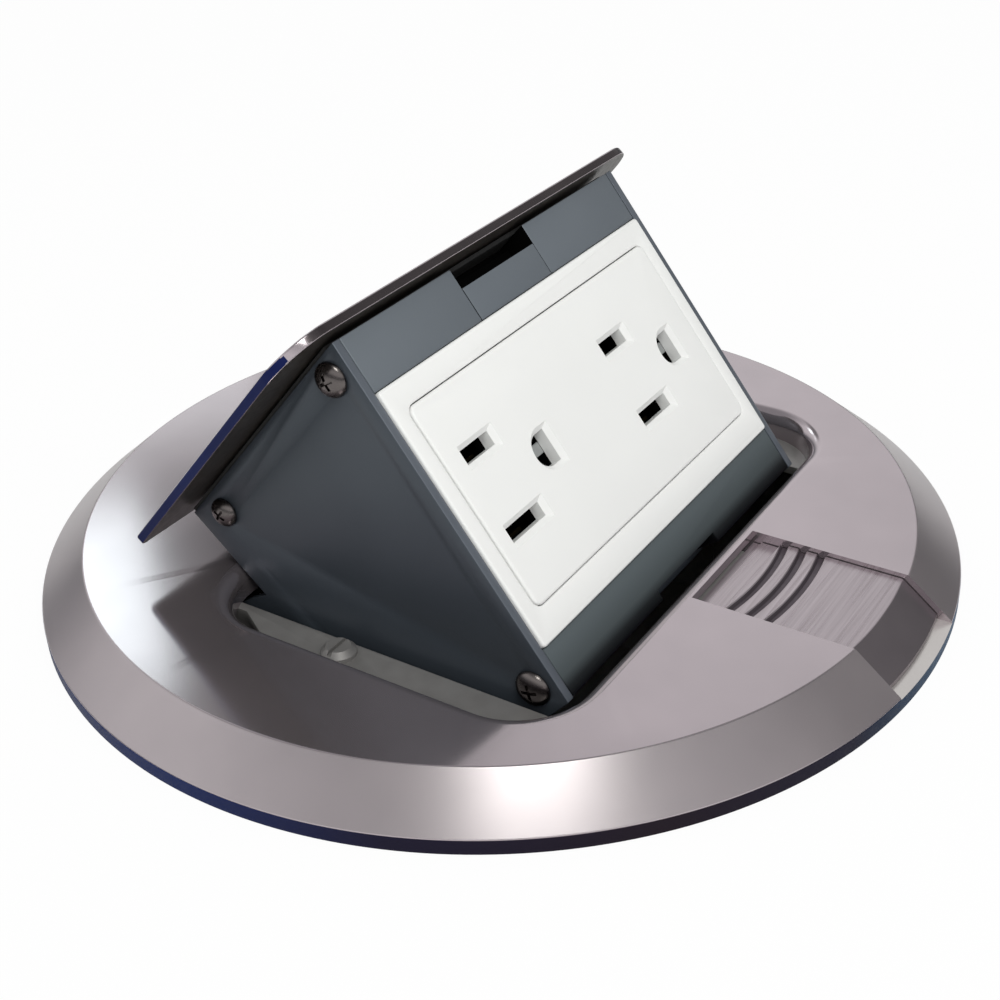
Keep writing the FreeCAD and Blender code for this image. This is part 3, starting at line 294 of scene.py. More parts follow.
def grain(tree, scale, detail=3.0, stretch=(1, 1, 1)):
    """Give a noise in the piece's own coordinates, drawn out along its axes."""
    place = node(tree, "TexCoord")
    mapping = node(tree, "Mapping")
    mapping.inputs["Scale"].default_value = stretch
    noise = node(tree, "TexNoise", Scale=scale, Detail=detail, Roughness=0.6)
    tree.links.new(place.outputs["Object"], mapping.inputs["Vector"])
    tree.links.new(mapping.outputs["Vector"], noise.inputs["Vector"])
    return noise.outputs["Fac"]


def spread(tree, fac, low, high):
    """Map a noise to a range of plain numbers."""
    ranged = node(tree, "MapRange")
    ranged.inputs["From Min"].default_value = 0.3
    ranged.inputs["From Max"].default_value = 0.7
    ranged.inputs["To Min"].default_value = low
    ranged.inputs["To Max"].default_value = high
    tree.links.new(fac, ranged.inputs["Value"])
    return ranged.outputs["Result"]


def tint(tree, fac, dark, light):
    """Map a noise to a range of colours."""
    ramp = node(tree, "ValToRGB")
    ramp.color_ramp.elements[0].position = 0.3
    ramp.color_ramp.elements[1].position = 0.7
    ramp.color_ramp.elements[0].color = (*dark, 1)
    ramp.color_ramp.elements[1].color = (*light, 1)
    tree.links.new(fac, ramp.inputs["Fac"])
    return ramp.outputs["Color"]


def relief(tree, shader, fac, strength, depth):
    """Raise a fine relief on the surface, with its depth in millimetres."""
    bump = node(tree, "Bump", Strength=strength, Distance=depth * MM)
    tree.links.new(fac, bump.inputs["Height"])
    tree.links.new(bump.outputs["Normal"], shader.inputs["Normal"])


def make_finish(name, dark, light, rough, metallic=0.0, scale=900.0, stretch=(1, 1, 1),
                strength=0.15, depth=0.02, cloud=60.0, sheen=0.5):
    """Make a finish of a cloudy colour, an uneven gloss and a fine relief.

    With strength 0 there is no relief, and the gloss is even.
    """
    finish, tree, shader = start_finish(name)
    shader.inputs["Metallic"].default_value = metallic
    shader.inputs["Specular IOR Level"].default_value = sheen
    lines = grain(tree, scale, 4.0, stretch) if strength else None
    clouds = grain(tree, cloud, 2.0) if stretch == (1, 1, 1) else lines
    tree.links.new(tint(tree, clouds, dark, light), shader.inputs["Base Color"])
    if strength:
        tree.links.new(spread(tree, lines, *rough), shader.inputs["Roughness"])
        relief(tree, shader, lines, strength, depth)
    else:
        shader.inputs["Roughness"].default_value = sum(rough) / 2
    return finish


def make_graded(name, along_line, stops):
    """Make a finish whose colour changes along a line, at stops in millimetres: a painted shade or a painted
    reflection.
    """
    finish, tree, shader = start_finish(name)
    shader.inputs["Specular IOR Level"].default_value = 0.08
    place = node(tree, "TexCoord")
    run = node(tree, "VectorMath", operation="DOT_PRODUCT")
    run.inputs[1].default_value = along_line
    share = node(tree, "MapRange")
    first, last = stops[0][0], stops[-1][0]
    share.inputs["From Min"].default_value = first * MM
    share.inputs["From Max"].default_value = last * MM
    colours = node(tree, "ValToRGB")
    ramp = colours.color_ramp
    ramp.elements[0].color = (*stops[0][1], 1)
    ramp.elements[-1].color = (*stops[-1][1], 1)
    for stop, shade in stops[1:-1]:
        ramp.elements.new((stop - first) / (last - first)).color = (*shade, 1)
    tree.links.new(place.outputs["Object"], run.inputs[0])
    tree.links.new(run.outputs["Value"], share.inputs["Value"])
    tree.links.new(share.outputs["Result"], colours.inputs["Fac"])
    tree.links.new(colours.outputs["Color"], shader.inputs["Base Color"])
    tree.links.new(spread(tree, grain(tree, 900.0), 0.36, 0.44), shader.inputs["Roughness"])
    return finish


def make_finishes():
    """Make every finish of the object."""
    return {
        "nickel": make_finish("satin_nickel", (0.42, 0.372, 0.395), (0.46, 0.405, 0.43), (0.12, 0.15), 0.85,
                              strength=0),
        # The bevel: rougher turned nickel, and slightly darker than the flat as painted shade.
        "bevel": make_finish("turned_nickel_painted_shade", (0.40, 0.36, 0.375), (0.44, 0.395, 0.41), (0.26, 0.30), 0.9,
                             strength=0),
        "slide": make_finish("brushed_nickel", (0.34, 0.295, 0.315), (0.56, 0.50, 0.53), (0.24, 0.36), 0.9,
                             scale=30.0, stretch=(1, 60, 60), strength=0.30),
        # The slide's outer slope: much darker nickel, painted shade.
        "slide_slope_shade": make_finish("slope_nickel_painted_shade", (0.20, 0.175, 0.19), (0.26, 0.23, 0.245), (0.24, 0.32),
                                   0.9, strength=0),
        # The ring's pocket floor beyond the slide: lighter nickel, a painted highlight.
        "pocket_floor_highlight": make_finish("pocket_floor_painted_highlight", (0.58, 0.55, 0.54), (0.68, 0.65, 0.63), (0.24, 0.32), 0.7,
                                 strength=0),
        # The side plates' front edges: lighter blue-grey, a painted highlight.
        "plate_edge": make_finish("plate_edge_painted_highlight", (0.11, 0.125, 0.15), (0.13, 0.145, 0.17), (0.3, 0.4),
                                  0.3),
        # The lid's left and right sides: navy, a painted reflection of dark surroundings.
        "lid_side_reflection": make_finish("navy_painted_reflection", (0.004, 0.008, 0.055), (0.006, 0.012, 0.075), (0.4, 0.5),
                                sheen=0.12),
        # The lid's underside: dark brown-grey, painted shade.
        "underside_shade": make_finish("lid_underside", (0.040, 0.034, 0.031), (0.060, 0.052, 0.046), (0.35, 0.45),
                                 0.3, cloud=120.0),
        "groove": make_finish("groove_shade", (0.085, 0.068, 0.080), (0.12, 0.10, 0.115), (0.35, 0.5), 0.8),
        # The lid's front and back edges: darker nickel, a painted reflection of dark surroundings.
        "edge": make_finish("lid_edge_painted_reflection", (0.13, 0.112, 0.117), (0.16, 0.14, 0.145), (0.22, 0.3), 1.0),
        # The rim: navy, purple and teal along a line, a painted reflection of dark surroundings.
        "rim": make_graded("rim_painted_reflection", (0.7, -0.7, 0), (
            (-55, (0.008, 0.018, 0.09)), (-30, (0.010, 0.008, 0.024)), (5, (0.012, 0.007, 0.013)),
            (35, (0.006, 0.005, 0.018)), (62, (0.001, 0.045, 0.11)))),
        "enamel": make_finish("slate_enamel", (0.050, 0.060, 0.074), (0.062, 0.074, 0.090), (0.34, 0.42),
                              0.35, scale=2500.0, strength=0.10, depth=0.01, cloud=30.0),
        "rail": make_finish("slate_rail", (0.136, 0.155, 0.177), (0.150, 0.170, 0.192), (0.36, 0.44),
                            0.2, scale=2500.0, strength=0.10, depth=0.01, cloud=30.0),
        # The bottom rail: painted shade, darker towards its lower edge and near black at the bottom.
        "low_rail_painted_shade": make_graded("shaded_rail", (0, 0, 1), (
            (5.8, (0.004, 0.004, 0.005)), (6.9, (0.015, 0.017, 0.019)), (8.2, (0.060, 0.071, 0.076)),
            (11, (0.085, 0.100, 0.108)))),
        "frame_zinc": make_finish("frame_zinc", (0.24, 0.23, 0.225), (0.30, 0.29, 0.285), (0.36, 0.48), 0.5,
                                  cloud=150.0),
        "white": make_finish("white_thermoplastic", (0.80, 0.80, 0.79), (0.82, 0.82, 0.81), (0.30, 0.36),
                             scale=1800.0, strength=0.05, depth=0.01, cloud=40.0),
        # Near black with no sheen: the socket body's dark plastic, and painted shade inside the slots and the
        # latch window.
        "dark_plastic_and_shade": make_finish("dark_thermoplastic_and_painted_shade", (0.002, 0.002, 0.002), (0.003, 0.003, 0.003),
                                    (0.8, 0.9), sheen=0),
        "zinc": make_finish("zinc_sheet", (0.36, 0.345, 0.34), (0.44, 0.425, 0.42), (0.40, 0.52), 0.5,
                            scale=700.0, strength=0.2, depth=0.02, cloud=150.0),
        "dark_screw": make_finish("dark_screw_steel", (0.13, 0.115, 0.112), (0.19, 0.17, 0.165), (0.22, 0.30),
                                  1.0, scale=500.0, strength=0.1, depth=0.01),
        "bright_screw": make_finish("plated_screw_steel", (0.55, 0.55, 0.56), (0.66, 0.66, 0.67),
                                    (0.18, 0.28), 1.0, scale=800.0),
        "brass": make_finish("screw_brass", (0.60, 0.42, 0.16), (0.70, 0.50, 0.20), (0.2, 0.3), 1.0),
        # The line and neutral contacts behind the slots: near black painted shade.
        "shaded_contact_brass": make_finish("contact_brass_painted_shade", (0.008, 0.006, 0.003), (0.012, 0.009, 0.004), (0.7, 0.8),
                                  sheen=0),
        "contact_steel": make_finish("contact_steel", (0.30, 0.31, 0.31), (0.36, 0.37, 0.37), (0.4, 0.5),
                                     0.4),
        "green": make_finish("green_screw_enamel", (0.02, 0.20, 0.05), (0.03, 0.26, 0.07), (0.25, 0.35)),
        "nylon": make_finish("black_nylon", (0.012, 0.012, 0.013), (0.02, 0.02, 0.022), (0.45, 0.55)),
        "rubber": make_finish("gasket_rubber", (0.015, 0.015, 0.015), (0.025, 0.025, 0.025), (0.7, 0.85),
                              scale=1500.0, strength=0.4, depth=0.05),
        "spring": make_finish("spring_wire", (0.30, 0.30, 0.31), (0.38, 0.38, 0.39), (0.22, 0.32), 1.0),
    }


FINISH = make_finishes()


# Trim ring

def make_opening_cutter():
    """Make the rounded block that leaves the opening and its rolled edge."""
    low_x, high_x = -OPENING_HALF - EDGE_ROLL, OPENING_HALF + EDGE_ROLL
    cutter = block("opening_cutter", (low_x, high_x),
                   (-OPENING_FRONT - EDGE_ROLL, OPENING_BACK + EDGE_ROLL), (RING_TOP, RING_TOP + 4))
    round_off(cutter, OPENING_CORNER + EDGE_ROLL, 24, lambda edge: along(edge, 2))
    edit(cutter)
    mark("faces", lambda face: face.normal.z < -0.99)
    steps = 10
    angles = [math.pi / 2 * i / steps for i in range(steps + 1)]
    for before, after in zip(angles, angles[1:]):
        inward = EDGE_ROLL * (math.sin(after) - math.sin(before))
        down = EDGE_ROLL * (math.cos(before) - math.cos(after))
        bpy.ops.mesh.inset(thickness=inward * MM, depth=down * MM)
    bpy.ops.mesh.extrude_region_move(TRANSFORM_OT_translate={"value": (0, 0, -(RING_TOP + 2) * MM)})
    done()
    return cutter


def make_channel_cutters():
    """Make the blocks that leave the latch channel, its outer pocket and the tongue's tunnel."""
    wide = (-CHANNEL_HALF, CHANNEL_HALF)
    outside = -RING_RADIUS - 5
    channel = block("channel_cutter", wide, (outside, -CHANNEL_END), (CHANNEL_FLOOR, RING_TOP + 4))
    pocket = block("pocket_cutter", wide, (outside, -RAMP_START), (POCKET_FLOOR, CHANNEL_FLOOR + 0.2))
    edit(pocket)
    mark("edges", lambda edge: level(edge, 1, -RAMP_START) and level(edge, 2, POCKET_FLOOR))
    bpy.ops.transform.translate(value=(0, (RAMP_START - RAMP_FOOT) * MM, 0))
    done()
    inside = -OPENING_FRONT + 1
    lip = block("lip_cutter", wide, (-CHANNEL_END - 1, inside), (CHANNEL_FLOOR - 0.05, LIP_UNDERSIDE))
    tunnel = block("tunnel_cutter", (-TUNNEL_HALF, TUNNEL_HALF), (-TUNNEL_START, inside),
                   (TUNNEL_FLOOR, CHANNEL_FLOOR + 0.3))
    slot = block("guide_cutter", (-1.7, 1.7), (-59.2, -54), (2, CHANNEL_FLOOR + 0.3))
    recess = block("guide_recess_cutter", (-3.2, 3.2), (-60.5, -49.7), (2, 5.1))
    return channel, pocket, lip, tunnel, slot, recess


def make_ring():
    """Turn the bevelled ring, cut its opening and channel, and colour its bevel, pocket and rim: the bevel
    slightly darker as painted shade, the pocket floor with a painted highlight and the rim with a painted
    reflection from navy to purple and teal.
    """
    crease = 0.55
    bevel_angle = math.degrees(math.atan2(RING_TOP - RIM_HEIGHT, RING_RADIUS - CREASE_RADIUS))
    outline = [(0, SEAT_HEIGHT), (SHOULDER_RADIUS, SEAT_HEIGHT), (SHOULDER_RADIUS, FRAME_TOP_GAP),
               (SKIRT_RADIUS, FRAME_TOP_GAP), (SKIRT_RADIUS, 0), (GASKET_INNER, 0),
               (GASKET_INNER, GASKET_DEPTH), (GASKET_OUTER, GASKET_DEPTH), (GASKET_OUTER, 0)]
    outline += curve_points((RING_RADIUS - 0.4, 0.4), 0.4, -90, 0, 3)
    outline += curve_points((RING_RADIUS - 0.5, RIM_HEIGHT - 0.35), 0.5, 0, 90 - bevel_angle, 4)
    inner = CREASE_RADIUS - crease * math.tan(math.radians(bevel_angle / 2))
    outline += curve_points((inner, RING_TOP - crease), crease, 90 - bevel_angle, 90, 5)
    outline += [(0, RING_TOP)]
    ring = turned("trim_ring_shell", outline, 256)
    cut(ring, make_opening_cutter(), *make_channel_cutters())
    break_edges(ring, 0.12, 2, 40)
    merge_points(ring)
    smooth(ring, 28)
    true_flats(ring)
    dress(ring, FINISH["nickel"], "base", "ring_nickel", "trim_ring")
    # The bevel gets the rougher turned nickel, slightly darker as painted shade.
    paint(ring, "bevel", lambda face: on_bevel(face, CREASE_RADIUS - 0.5))
    # The pocket floor at the channel's outer end gets the lighter painted highlight.
    paint(ring, "pocket_floor_highlight", lambda face: face.normal.z > 0.9
          and abs(face.calc_center_median().z - POCKET_FLOOR * MM) < 0.05 * MM)
    # The rim's outer wall gets the painted reflection, navy to purple to teal.
    paint(ring, "rim", lambda face: all(math.hypot(c.co.x, c.co.y) > (RING_RADIUS - 0.06) * MM
                                        for c in face.verts))


def on_bevel(face, radius):
    """Say whether a face lies on the outer slope, beyond a radius in millimetres."""
    return 0.6 < face.normal.z < 0.97 and math.hypot(*face.calc_center_median().xy) > radius * MM


# Latch slide

def make_slide():
    """Turn the slide's bevelled section, score its finger grooves and trim it to width."""
    top, low = RING_TOP - SLIDE_SINK, CHANNEL_FLOOR + 0.1
    slope = (RING_TOP - RIM_HEIGHT) / (RING_RADIUS - CREASE_RADIUS)
    bend = CREASE_RADIUS - SLIDE_SINK
    end_top = top - (SLIDE_END - bend) * slope
    bevel_angle = math.degrees(math.atan(slope))
    outline = [(30, top), (30, low), (bend, low), (SLIDE_END - 1.2, POCKET_FLOOR + 0.1),
               (SLIDE_END, POCKET_FLOOR + 0.1), (SLIDE_END, end_top)]
    crease = 0.5
    inner = bend - crease * math.tan(math.radians(bevel_angle / 2))
    outline += curve_points((inner, top - crease), crease, 90 - bevel_angle, 90, 5)
    for i in (2, 1, 0):
        groove = GROOVE_START + GROOVE_PITCH * i
        bottom = top - GROOVE_DEPTH
        outline += [(groove + 0.75, top), (groove + 0.62, top - 0.12), (groove + 0.45, bottom),
                    (groove - 0.25, bottom), (groove - 0.55, top - 0.14), (groove - 0.70, top)]
    outline += [(30, top)]
    slide = turned("latch_slide_plate", outline, 512)
    edit(slide)
    for point, normal in (((SLIDE_HALF, 0, 0), (1, 0, 0)), ((-SLIDE_HALF, 0, 0), (-1, 0, 0)),
                          ((0, -SLIDE_FRONT, 0), (0, 1, 0))):
        bpy.ops.mesh.select_all(action="SELECT")
        bpy.ops.mesh.bisect(plane_co=Vector(point) * MM, plane_no=normal, use_fill=True, clear_outer=True)
    done()
    step = block("step_cutter", (-12, 12), (-STEP_START, -40), (STEP_TOP, 9))
    lip = block("lip_cutter", (-12, 12), (-LIP_START, -40), (LIP_TOP, 9))
    cut(slide, step, lip)
    pad = block("tongue_pad", (-7, 7), (-54, -46.4), (6.1, 6.5))
    join(slide, pad)
    break_edges(slide, 0.1, 2, 40)
    smooth(slide, 28)
    true_flats(slide)
    dress(slide, FINISH["slide"], "latch", "ring_nickel", "latch_slide")
    # The finger grooves and the outer slope get darker colours: painted shade.
    paint(slide, "groove", lambda face: in_groove(face, top))
    paint(slide, "slide_slope_shade", lambda face: on_bevel(face, bend))


def in_groove(face, top):
    """Say whether a face lies inside one of the finger grooves."""
    spot = face.calc_center_median() / MM
    radius = math.hypot(spot.x, spot.y)
    return 47.1 < radius < 54.8 and top - 0.7 < spot.z < top - 0.08 and abs(spot.x) < 10.3


# Lid

def make_lid():
    """Round the lid's corners and edges, add its studs, colour its sides, edges and underside with painted
    reflection and shade, and turn it open.
    """
    lower = RING_TOP - LID_THICKNESS
    lid = block("lid_cover", (-LID_HALF, LID_HALF), (-LID_FRONT, LID_BACK), (lower, RING_TOP))
    round_off(lid, FRONT_CORNER, 24, lambda edge: along(edge, 2) and edge.verts[0].co.y < 0)
    round_off(lid, BACK_CORNER, 6, lambda edge: along(edge, 2) and edge.verts[0].co.y > (LID_BACK - 0.1) * MM)
    round_off(lid, 0.35, 4, lambda edge: level(edge, 2, RING_TOP))
    round_off(lid, 0.2, 3, lambda edge: level(edge, 2, lower))
    studs = [rod("lid_stud", STUD_RADIUS, (x, y, STUD_FOOT), lower - 1) for x in (-28, 28) for y in (-20, -3)]
    join(lid, *studs)
    smooth(lid, 30)
    true_flats(lid)
    dress(lid, FINISH["nickel"], "head", "ring_nickel", "lid_plate")
    # The lid's sides get a navy painted reflection, its front and back edges a darker painted reflection, and
    # its underside painted shade.
    for finish, facing in (("lid_side_reflection", lambda normal: abs(normal.x) > 0.8),
                           ("edge", lambda normal: abs(normal.y) > 0.9),
                           ("underside_shade", lambda normal: normal.z < -0.9)):
        paint(lid, finish, lambda face: facing(face.normal)
              and face.calc_center_median().z > (lower - 0.1) * MM)
    settle(lid, turned_open())


# White bezel and socket face, drawn on the face plane

def make_bezel():
    """Cut the bezel's window and round its front edges."""
    middle = FACE_CENTRE
    bezel = block("white_bezel", (-BEZEL_HALF, BEZEL_HALF), (BEZEL_LOW, BEZEL_HIGH),
                  (BEZEL_BACK, BEZEL_FRONT))
    round_off(bezel, 0.6, 4, lambda edge: along(edge, 2))
    window = block("window_cutter", (-WINDOW_HALF_LONG, WINDOW_HALF_LONG),
                   (middle - WINDOW_HALF_HIGH, middle + WINDOW_HALF_HIGH), (-6, 3))
    round_off(window, 1.7, 8, lambda edge: along(edge, 2))
    cut(bezel, window)
    break_edges(bezel, 0.35, 3, 50)
    smooth(bezel, 35)
    settle(bezel, on_face())
    dress(bezel, FINISH["white"], "head", "white_plastic", "bezel")


def make_socket_face():
    """Cut the blade slots and the earth holes, each with a sloped mouth."""
    middle = FACE_CENTRE
    face = block("socket_face", (-FACE_HALF_LONG, FACE_HALF_LONG),
                 (middle - FACE_HALF_HIGH, middle + FACE_HALF_HIGH), (FACE_BACK, FACE_FRONT))
    round_off(face, 1.5, 8, lambda edge: along(edge, 2))
    round_off(face, 0.4, 4, lambda edge: level(edge, 2, FACE_FRONT))
    for blade, earth in SOCKET_PLACES:
        cut(face, slot_cutter(blade, middle + BLADE_HALF_SPACING, SHORT_BLADE, BLADE_HALF_WIDTH))
        cut(face, slot_cutter(blade, middle - BLADE_HALF_SPACING, LONG_BLADE, BLADE_HALF_WIDTH))
        cut(face, earth_cutter(earth, middle))
    merge_points(face)
    smooth(face, 30)
    dress(face, FINISH["white"], "head", "white_plastic", "receptacle_face")
    # The slot and hole walls deeper than the lit mouth get near black painted shade.
    paint(face, "dark_plastic_and_shade", lambda side: in_shaft(side, middle))
    settle(face, on_face())


def in_shaft(side, middle):
    """Say whether a side wall lies inside a slot or hole, below the depth that light reaches."""
    spot = side.calc_center_median() / MM
    deep = spot.z < FACE_FRONT - MOUTH - LIT_DEPTH
    return abs(side.normal.z) < 0.3 and deep and abs(spot.x) < 32 and abs(spot.y - middle) < 15


def slot_cutter(x, y, half_long, half_wide):
    """Make a slot's cutter: a wide mouth, a slope and a straight shaft."""
    cutter = block("slot_cutter", (x - half_long - MOUTH, x + half_long + MOUTH),
                   (y - half_wide - MOUTH, y + half_wide + MOUTH), (FACE_FRONT - 0.02, 2))
    sink_shaft(cutter)
    return cutter


def earth_cutter(x, y):
    """Make an earth hole's cutter, round towards the blades and straight on the other side."""
    radius, side = EARTH_RADIUS + MOUTH, EARTH_FLAT + MOUTH
    cutter = block("earth_cutter", (x - radius, x + side), (y - radius, y + radius), (FACE_FRONT - 0.02, 2))
    round_off(cutter, radius - 0.02, 24, lambda edge: along(edge, 2) and edge.verts[0].co.x < x * MM)
    sink_shaft(cutter)
    return cutter


def sink_shaft(cutter):
    """Slope a cutter's lower face inwards, then run it straight down."""
    edit(cutter)
    bpy.ops.mesh.remove_doubles(threshold=5e-6)
    mark("faces", lambda face: face.normal.z < -0.99)
    bpy.ops.mesh.dissolve_faces()
    bpy.ops.mesh.inset(thickness=MOUTH * MM, depth=MOUTH * MM)
    for depth in (LIT_DEPTH, 8):
        bpy.ops.mesh.extrude_region_move(TRANSFORM_OT_translate={"value": (0, 0, -depth * MM)})
    done()


# Side screws

def make_side_screws():
    """Turn one domed screw with a cross recess, and copy it to the eight holes, a little narrower."""
    dome = [math.radians(90 * i / 10) for i in range(1, 10)]
    outline = [(0, -8), (1.4, -8), (1.4, 0), (2.85, 0), (SCREW_RADIUS, 0.12)]
    outline += [(SCREW_RADIUS * math.cos(a), 0.15 + 1.4 * math.sin(a)) for a in dome] + [(0, 1.55)]
    screw = turned("side_screw", outline, 64)
    for x, y in ((0.28, 1.35), (1.35, 0.28)):
        cut(screw, block("cross_cutter", (-x, x), (-y, y), (0.85, 2)))
    break_edges(screw, 0.06, 2, 40)
    smooth(screw, 35)
    rail = on_face()
    shut = turned_open()
    spots = [rail @ Vector((0, -4.125 * MM, -4 * MM)), rail @ Vector((0, -55.5 * MM, -4.2 * MM)),
             shut @ Vector((0, 6.8 * MM, 2.4 * MM)), shut @ Vector((0, 8.0 * MM, -48.2 * MM))]
    copies = []
    random.seed(7)
    for side in (-1, 1):
        for spot, size in zip(spots, SCREW_SIZES):
            twin = copy_of(screw)
            spin = Matrix.Rotation(random.uniform(0, 1.5), 4, "Z")
            turn = Matrix.Rotation(side * math.pi / 2, 4, "Y") @ spin @ Matrix.Diagonal((size, size, 1, 1))
            settle(twin, Matrix.Translation(spot + Vector((side * SCREW_SIDE * MM, 0, 0))) @ turn)
            copies.append(twin)
    bpy.data.objects.remove(screw, do_unlink=True)
    screws = join(*copies)
    screws.name = "side_screw_set"
    dress(screws, FINISH["dark_screw"], "head", "dark_screw", "side_screws")


# Pieces finished from the frame's own nodes

def finish_node(name, finish, body, slot, edge):
    """Merge a copy of a node, take off its sharp edges and give it a finish."""
    piece = copy_of(frame["nodes"][name])
    piece.name = name + "_finished"
    piece.parent = None
    edit(piece)
    bpy.ops.mesh.remove_doubles(threshold=1e-6)
    bpy.ops.mesh.dissolve_limited(angle_limit=math.radians(0.4))
    done()
    if edge:
        break_edges(piece, edge)
    smooth(piece)
    dress(piece, FINISH[finish], body, slot, name)
    return piece


NODE_FINISH = {
    "support_frame": "frame_zinc", "floor_can": "zinc", "knockout_plugs": "zinc",
    "frame_screws": "frame_zinc", "ring_screws": "bright_screw", "ground_screw": "green",
    "hinge_axle": "bright_screw", "axle_clips": "spring", "hub_washers": "nylon",
    "stop_pins": "bright_screw", "lift_springs": "spring",
    "ring_gasket": "rubber", "side_plate_right": "enamel", "side_plate_left": "enamel",
    "spacer_bars": "zinc", "top_plate": "enamel", "back_cover": "enamel", "lid_gasket": "rubber",
    # The bottom rail gets painted shade that darkens towards its lower edge.
    "lid_nuts": "bright_screw", "top_rail": "rail", "bottom_rail": "low_rail_painted_shade", "latch_keeper": "rail",
    # The socket body and the line and neutral contacts are near black: painted shade inside the slots, on the
    # body also its dark plastic.
    "receptacle_body": "dark_plastic_and_shade", "neutral_contacts": "shaded_contact_brass", "line_contacts": "shaded_contact_brass",
    "ground_contacts": "contact_steel", "mounting_strap": "zinc", "neutral_terminal_screws": "bright_screw",
    "line_terminal_screws": "brass", "strap_screws": "bright_screw", "strain_relief": "nylon",
    "strain_relief_nut": "nylon", "latch_tongue": "zinc", "tongue_rivets": "bright_screw",
    "guide_screw": "bright_screw",
}
CRISP_NODES = {"side_plate_right": 0.3, "side_plate_left": 0.3, "top_rail": 0.25, "bottom_rail": 0.25,
               "latch_keeper": 0.12, "support_frame": 0.2, "back_cover": 0.2, "ground_contacts": 0}


def fronts(face):
    """Say whether a part of the head looks the way of the sockets."""
    return face.normal.dot(on_face().to_3x3().col[2]) > 0.6


def in_latch_window(face):
    """Say whether a part of the rail or keeper lies inside the window above the keeper."""
    middle = face.calc_center_median()
    depth = (on_face().inverted() @ middle).z / MM
    return abs(middle.x) < 20 * MM and (depth < -1.2 or not fronts(face))


def add_earth_strips(contacts):
    """Add the contact strip that shows across each earth hole."""
    strips = []
    for _, x in SOCKET_PLACES:
        strip = block("earth_strip", (x - 2.5, x + 1.7), (FACE_CENTRE - 0.6, FACE_CENTRE + 1.3), (-2.6, -2.2))
        round_off(strip, 0.15, 2, lambda edge: along(edge, 0))
        strip.data.materials.append(FINISH["contact_steel"])
        settle(strip, on_face())
        strips.append(strip)
    join(contacts, *strips)


def finish_frame_nodes():
    """Give every remaining node its finish, and the ones in sight their broken edges."""
    slots = {entry["node"]: entry["material_slot"] for entry in frame["record"]["subparts"]}
    bodies = {name: body for body, names in frame["record"]["behaviour"]["bodies"].items() for name in names}
    for name, finish in NODE_FINISH.items():
        if name in CRISP_NODES:
            piece = finish_node(name, finish, bodies[name], slots[name], CRISP_NODES[name])
            if name in ("top_rail", "latch_keeper"):
                # The rail and keeper faces inside the latch window get near black painted shade.
                paint(piece, "dark_plastic_and_shade", in_latch_window)
            if name == "ground_contacts":
                add_earth_strips(piece)
            if name.startswith("side_plate"):
                # The side plates' faces towards the sockets get the lighter painted highlight.
                paint(piece, "plate_edge", fronts)
        else:
            shown = frame["nodes"][name]
            shown.data.materials.clear()
            shown.data.materials.append(FINISH[finish])


# Stage: a pale floor with a hole for the can, soft lamps and the camera

def make_floor():
    """Lay the floor round the can."""
    bpy.ops.mesh.primitive_circle_add(vertices=128, radius=FLOOR_HOLE * MM, fill_type="NOTHING")
    floor = bpy.context.object
    floor.name = "floor"
    edit(floor)
    bpy.ops.mesh.extrude_edges_move()
    bpy.ops.transform.resize(value=(FLOOR_SPREAD, FLOOR_SPREAD, 1))
    done()
    finish, tree, shader = start_finish("pale_floor")
    shader.inputs["Base Color"].default_value = (0.86, 0.86, 0.86, 1)
    shader.inputs["Roughness"].default_value = 0.9
    glow = node(tree, "Emission")
    glow.inputs["Color"].default_value = (1, 1, 1, 1)
    seen = node(tree, "LightPath")
    mix = node(tree, "MixShader")
    strength = node(tree, "Math", operation="MULTIPLY")
    strength.inputs[1].default_value = 0.95
    tree.links.new(seen.outputs["Is Camera Ray"], strength.inputs[0])
    tree.links.new(strength.outputs["Value"], mix.inputs["Fac"])
    tree.links.new(shader.outputs["BSDF"], mix.inputs[1])
    tree.links.new(glow.outputs["Emission"], mix.inputs[2])
    tree.links.new(mix.outputs["Shader"], tree.nodes["Material Output"].inputs["Surface"])
    floor.data.materials.append(finish)


# The surrounding that metal mirrors: its shade by height, and two dim spots, each with its
# direction, its inner and outer reach and its least brightness
WORLD_SHADES = ((0.06, (0.03, 0.035, 0.05)), (0.34, (1, 1, 1)), (0.6, (1, 1, 1)), (0.85, (0.36, 0.36, 0.37)))
LOWEST_SHADE, HIGHEST_SHADE = (0.02, 0.025, 0.04, 1), (0.30, 0.30, 0.31, 1)
DIM_SPOTS = (((0.569, 0.589, 0.574), 0.07, 0.20, 0.2), ((0.76, -0.50, 0.42), 0.35, 0.9, 0.33))


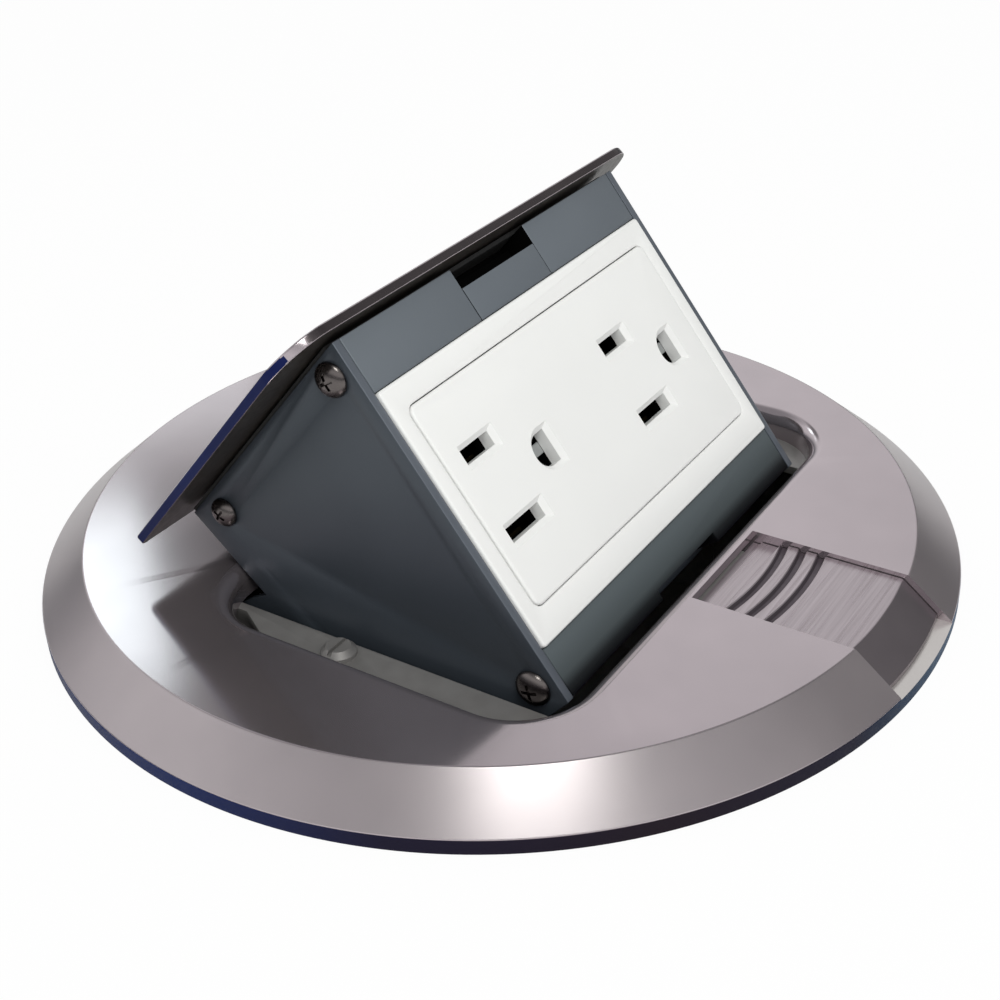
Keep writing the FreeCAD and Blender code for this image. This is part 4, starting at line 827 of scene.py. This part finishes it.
def make_world():
    """Make a surrounding that is white for the camera, and for reflections dims at heights and spots."""
    world = bpy.data.worlds.new("studio")
    bpy.context.scene.world = world
    world.use_nodes = True
    tree = world.node_tree
    background = tree.nodes["Background"]
    place = node(tree, "TexCoord")
    parts = node(tree, "SeparateXYZ")
    tree.links.new(place.outputs["Generated"], parts.inputs["Vector"])
    heights = node(tree, "ValToRGB")
    ramp = heights.color_ramp
    for spot, shade in WORLD_SHADES:
        ramp.elements.new(spot).color = (*shade, 1)
    ramp.elements[0].color = LOWEST_SHADE
    ramp.elements[-1].color = HIGHEST_SHADE
    tree.links.new(parts.outputs["Z"], heights.inputs["Fac"])
    dimmed = heights.outputs["Color"]
    for centre, near, far, least in DIM_SPOTS:
        away = node(tree, "VectorMath", operation="DISTANCE")
        away.inputs[1].default_value = centre
        fade = node(tree, "MapRange", interpolation_type="SMOOTHSTEP")
        for value, number in zip(("From Min", "From Max", "To Min", "To Max"), (near, far, least, 1)):
            fade.inputs[value].default_value = number
        scaled = node(tree, "VectorMath", operation="SCALE")
        tree.links.new(place.outputs["Generated"], away.inputs[0])
        tree.links.new(away.outputs["Value"], fade.inputs["Value"])
        tree.links.new(dimmed, scaled.inputs[0])
        tree.links.new(fade.outputs["Result"], scaled.inputs["Scale"])
        dimmed = scaled.outputs["Vector"]
    seen = node(tree, "LightPath")
    mirror = node(tree, "Math", operation="MAXIMUM")
    tree.links.new(seen.outputs["Is Glossy Ray"], mirror.inputs[0])
    tree.links.new(seen.outputs["Is Transmission Ray"], mirror.inputs[1])
    shade = node(tree, "Mix", data_type="RGBA")
    shade.inputs[6].default_value = (1, 1, 1, 1)
    tree.links.new(mirror.outputs["Value"], shade.inputs[0])
    tree.links.new(dimmed, shade.inputs[7])
    tree.links.new(shade.outputs[2], background.inputs["Color"])
    most = node(tree, "Math", operation="MAXIMUM")
    tree.links.new(seen.outputs["Is Camera Ray"], most.inputs[0])
    tree.links.new(mirror.outputs["Value"], most.inputs[1])
    level_range = node(tree, "MapRange")
    level_range.inputs["To Min"].default_value = 0.5
    level_range.inputs["To Max"].default_value = 1.0
    tree.links.new(most.outputs["Value"], level_range.inputs["Value"])
    tree.links.new(level_range.outputs["Result"], background.inputs["Strength"])


def make_lamp(name, place, aim, size, power, colour=(1, 1, 1), mirrored=True):
    """Hang a soft square lamp that points at a spot, and say whether polished metal shows it."""
    data = bpy.data.lights.new(name, "AREA")
    data.size = size
    data.energy = power
    data.color = colour
    lamp = bpy.data.objects.new(name, data)
    bpy.context.collection.objects.link(lamp)
    lamp.location = place
    lamp.rotation_euler = (Vector(aim) - Vector(place)).to_track_quat("-Z", "Y").to_euler()
    lamp.visible_glossy = mirrored


def make_camera():
    """Set the camera where the photograph was taken from."""
    right = Vector((0.53817, -0.84201, -0.0374))
    up = Vector((0.45083, 0.25009, 0.85686))
    back = Vector((-0.71213, -0.47799, 0.51419))
    data = bpy.data.cameras.new("camera")
    data.lens = 56.45
    data.sensor_width = 36
    data.shift_x = -0.0087
    data.shift_y = -0.0082
    camera = bpy.data.objects.new("camera", data)
    bpy.context.collection.objects.link(camera)
    turn = Matrix((right, up, back)).transposed().to_4x4()
    camera.matrix_world = Matrix.Translation(Vector((-184.29, -125.84, 143.04)) * MM) @ turn
    bpy.context.scene.camera = camera


make_ring()
make_slide()
make_lid()
make_bezel()
make_socket_face()
make_side_screws()
finish_frame_nodes()
make_floor()
make_world()
make_lamp("key_lamp", (-0.45, -0.75, 0.85), (0, 0, 0), 0.6, 5.2, mirrored=False)
make_lamp("fan_lamp", (-0.30, -0.28, 0.94), (0, 0, 0), 0.34, 3.0, (0.97, 1, 0.95))
make_lamp("band_lamp", (0.44, 0.71, 0.555), (-0.05, 0.03, 0.01), 0.15, 0.20, (0.84, 1, 0.99))
make_lamp("far_band_lamp", (0.62, 0.73, 0.43), (0, 0.06, 0.01), 0.12, 0.035, (0.88, 1, 0.99))
make_camera()
bpy.context.scene.view_settings.view_transform = "Standard"
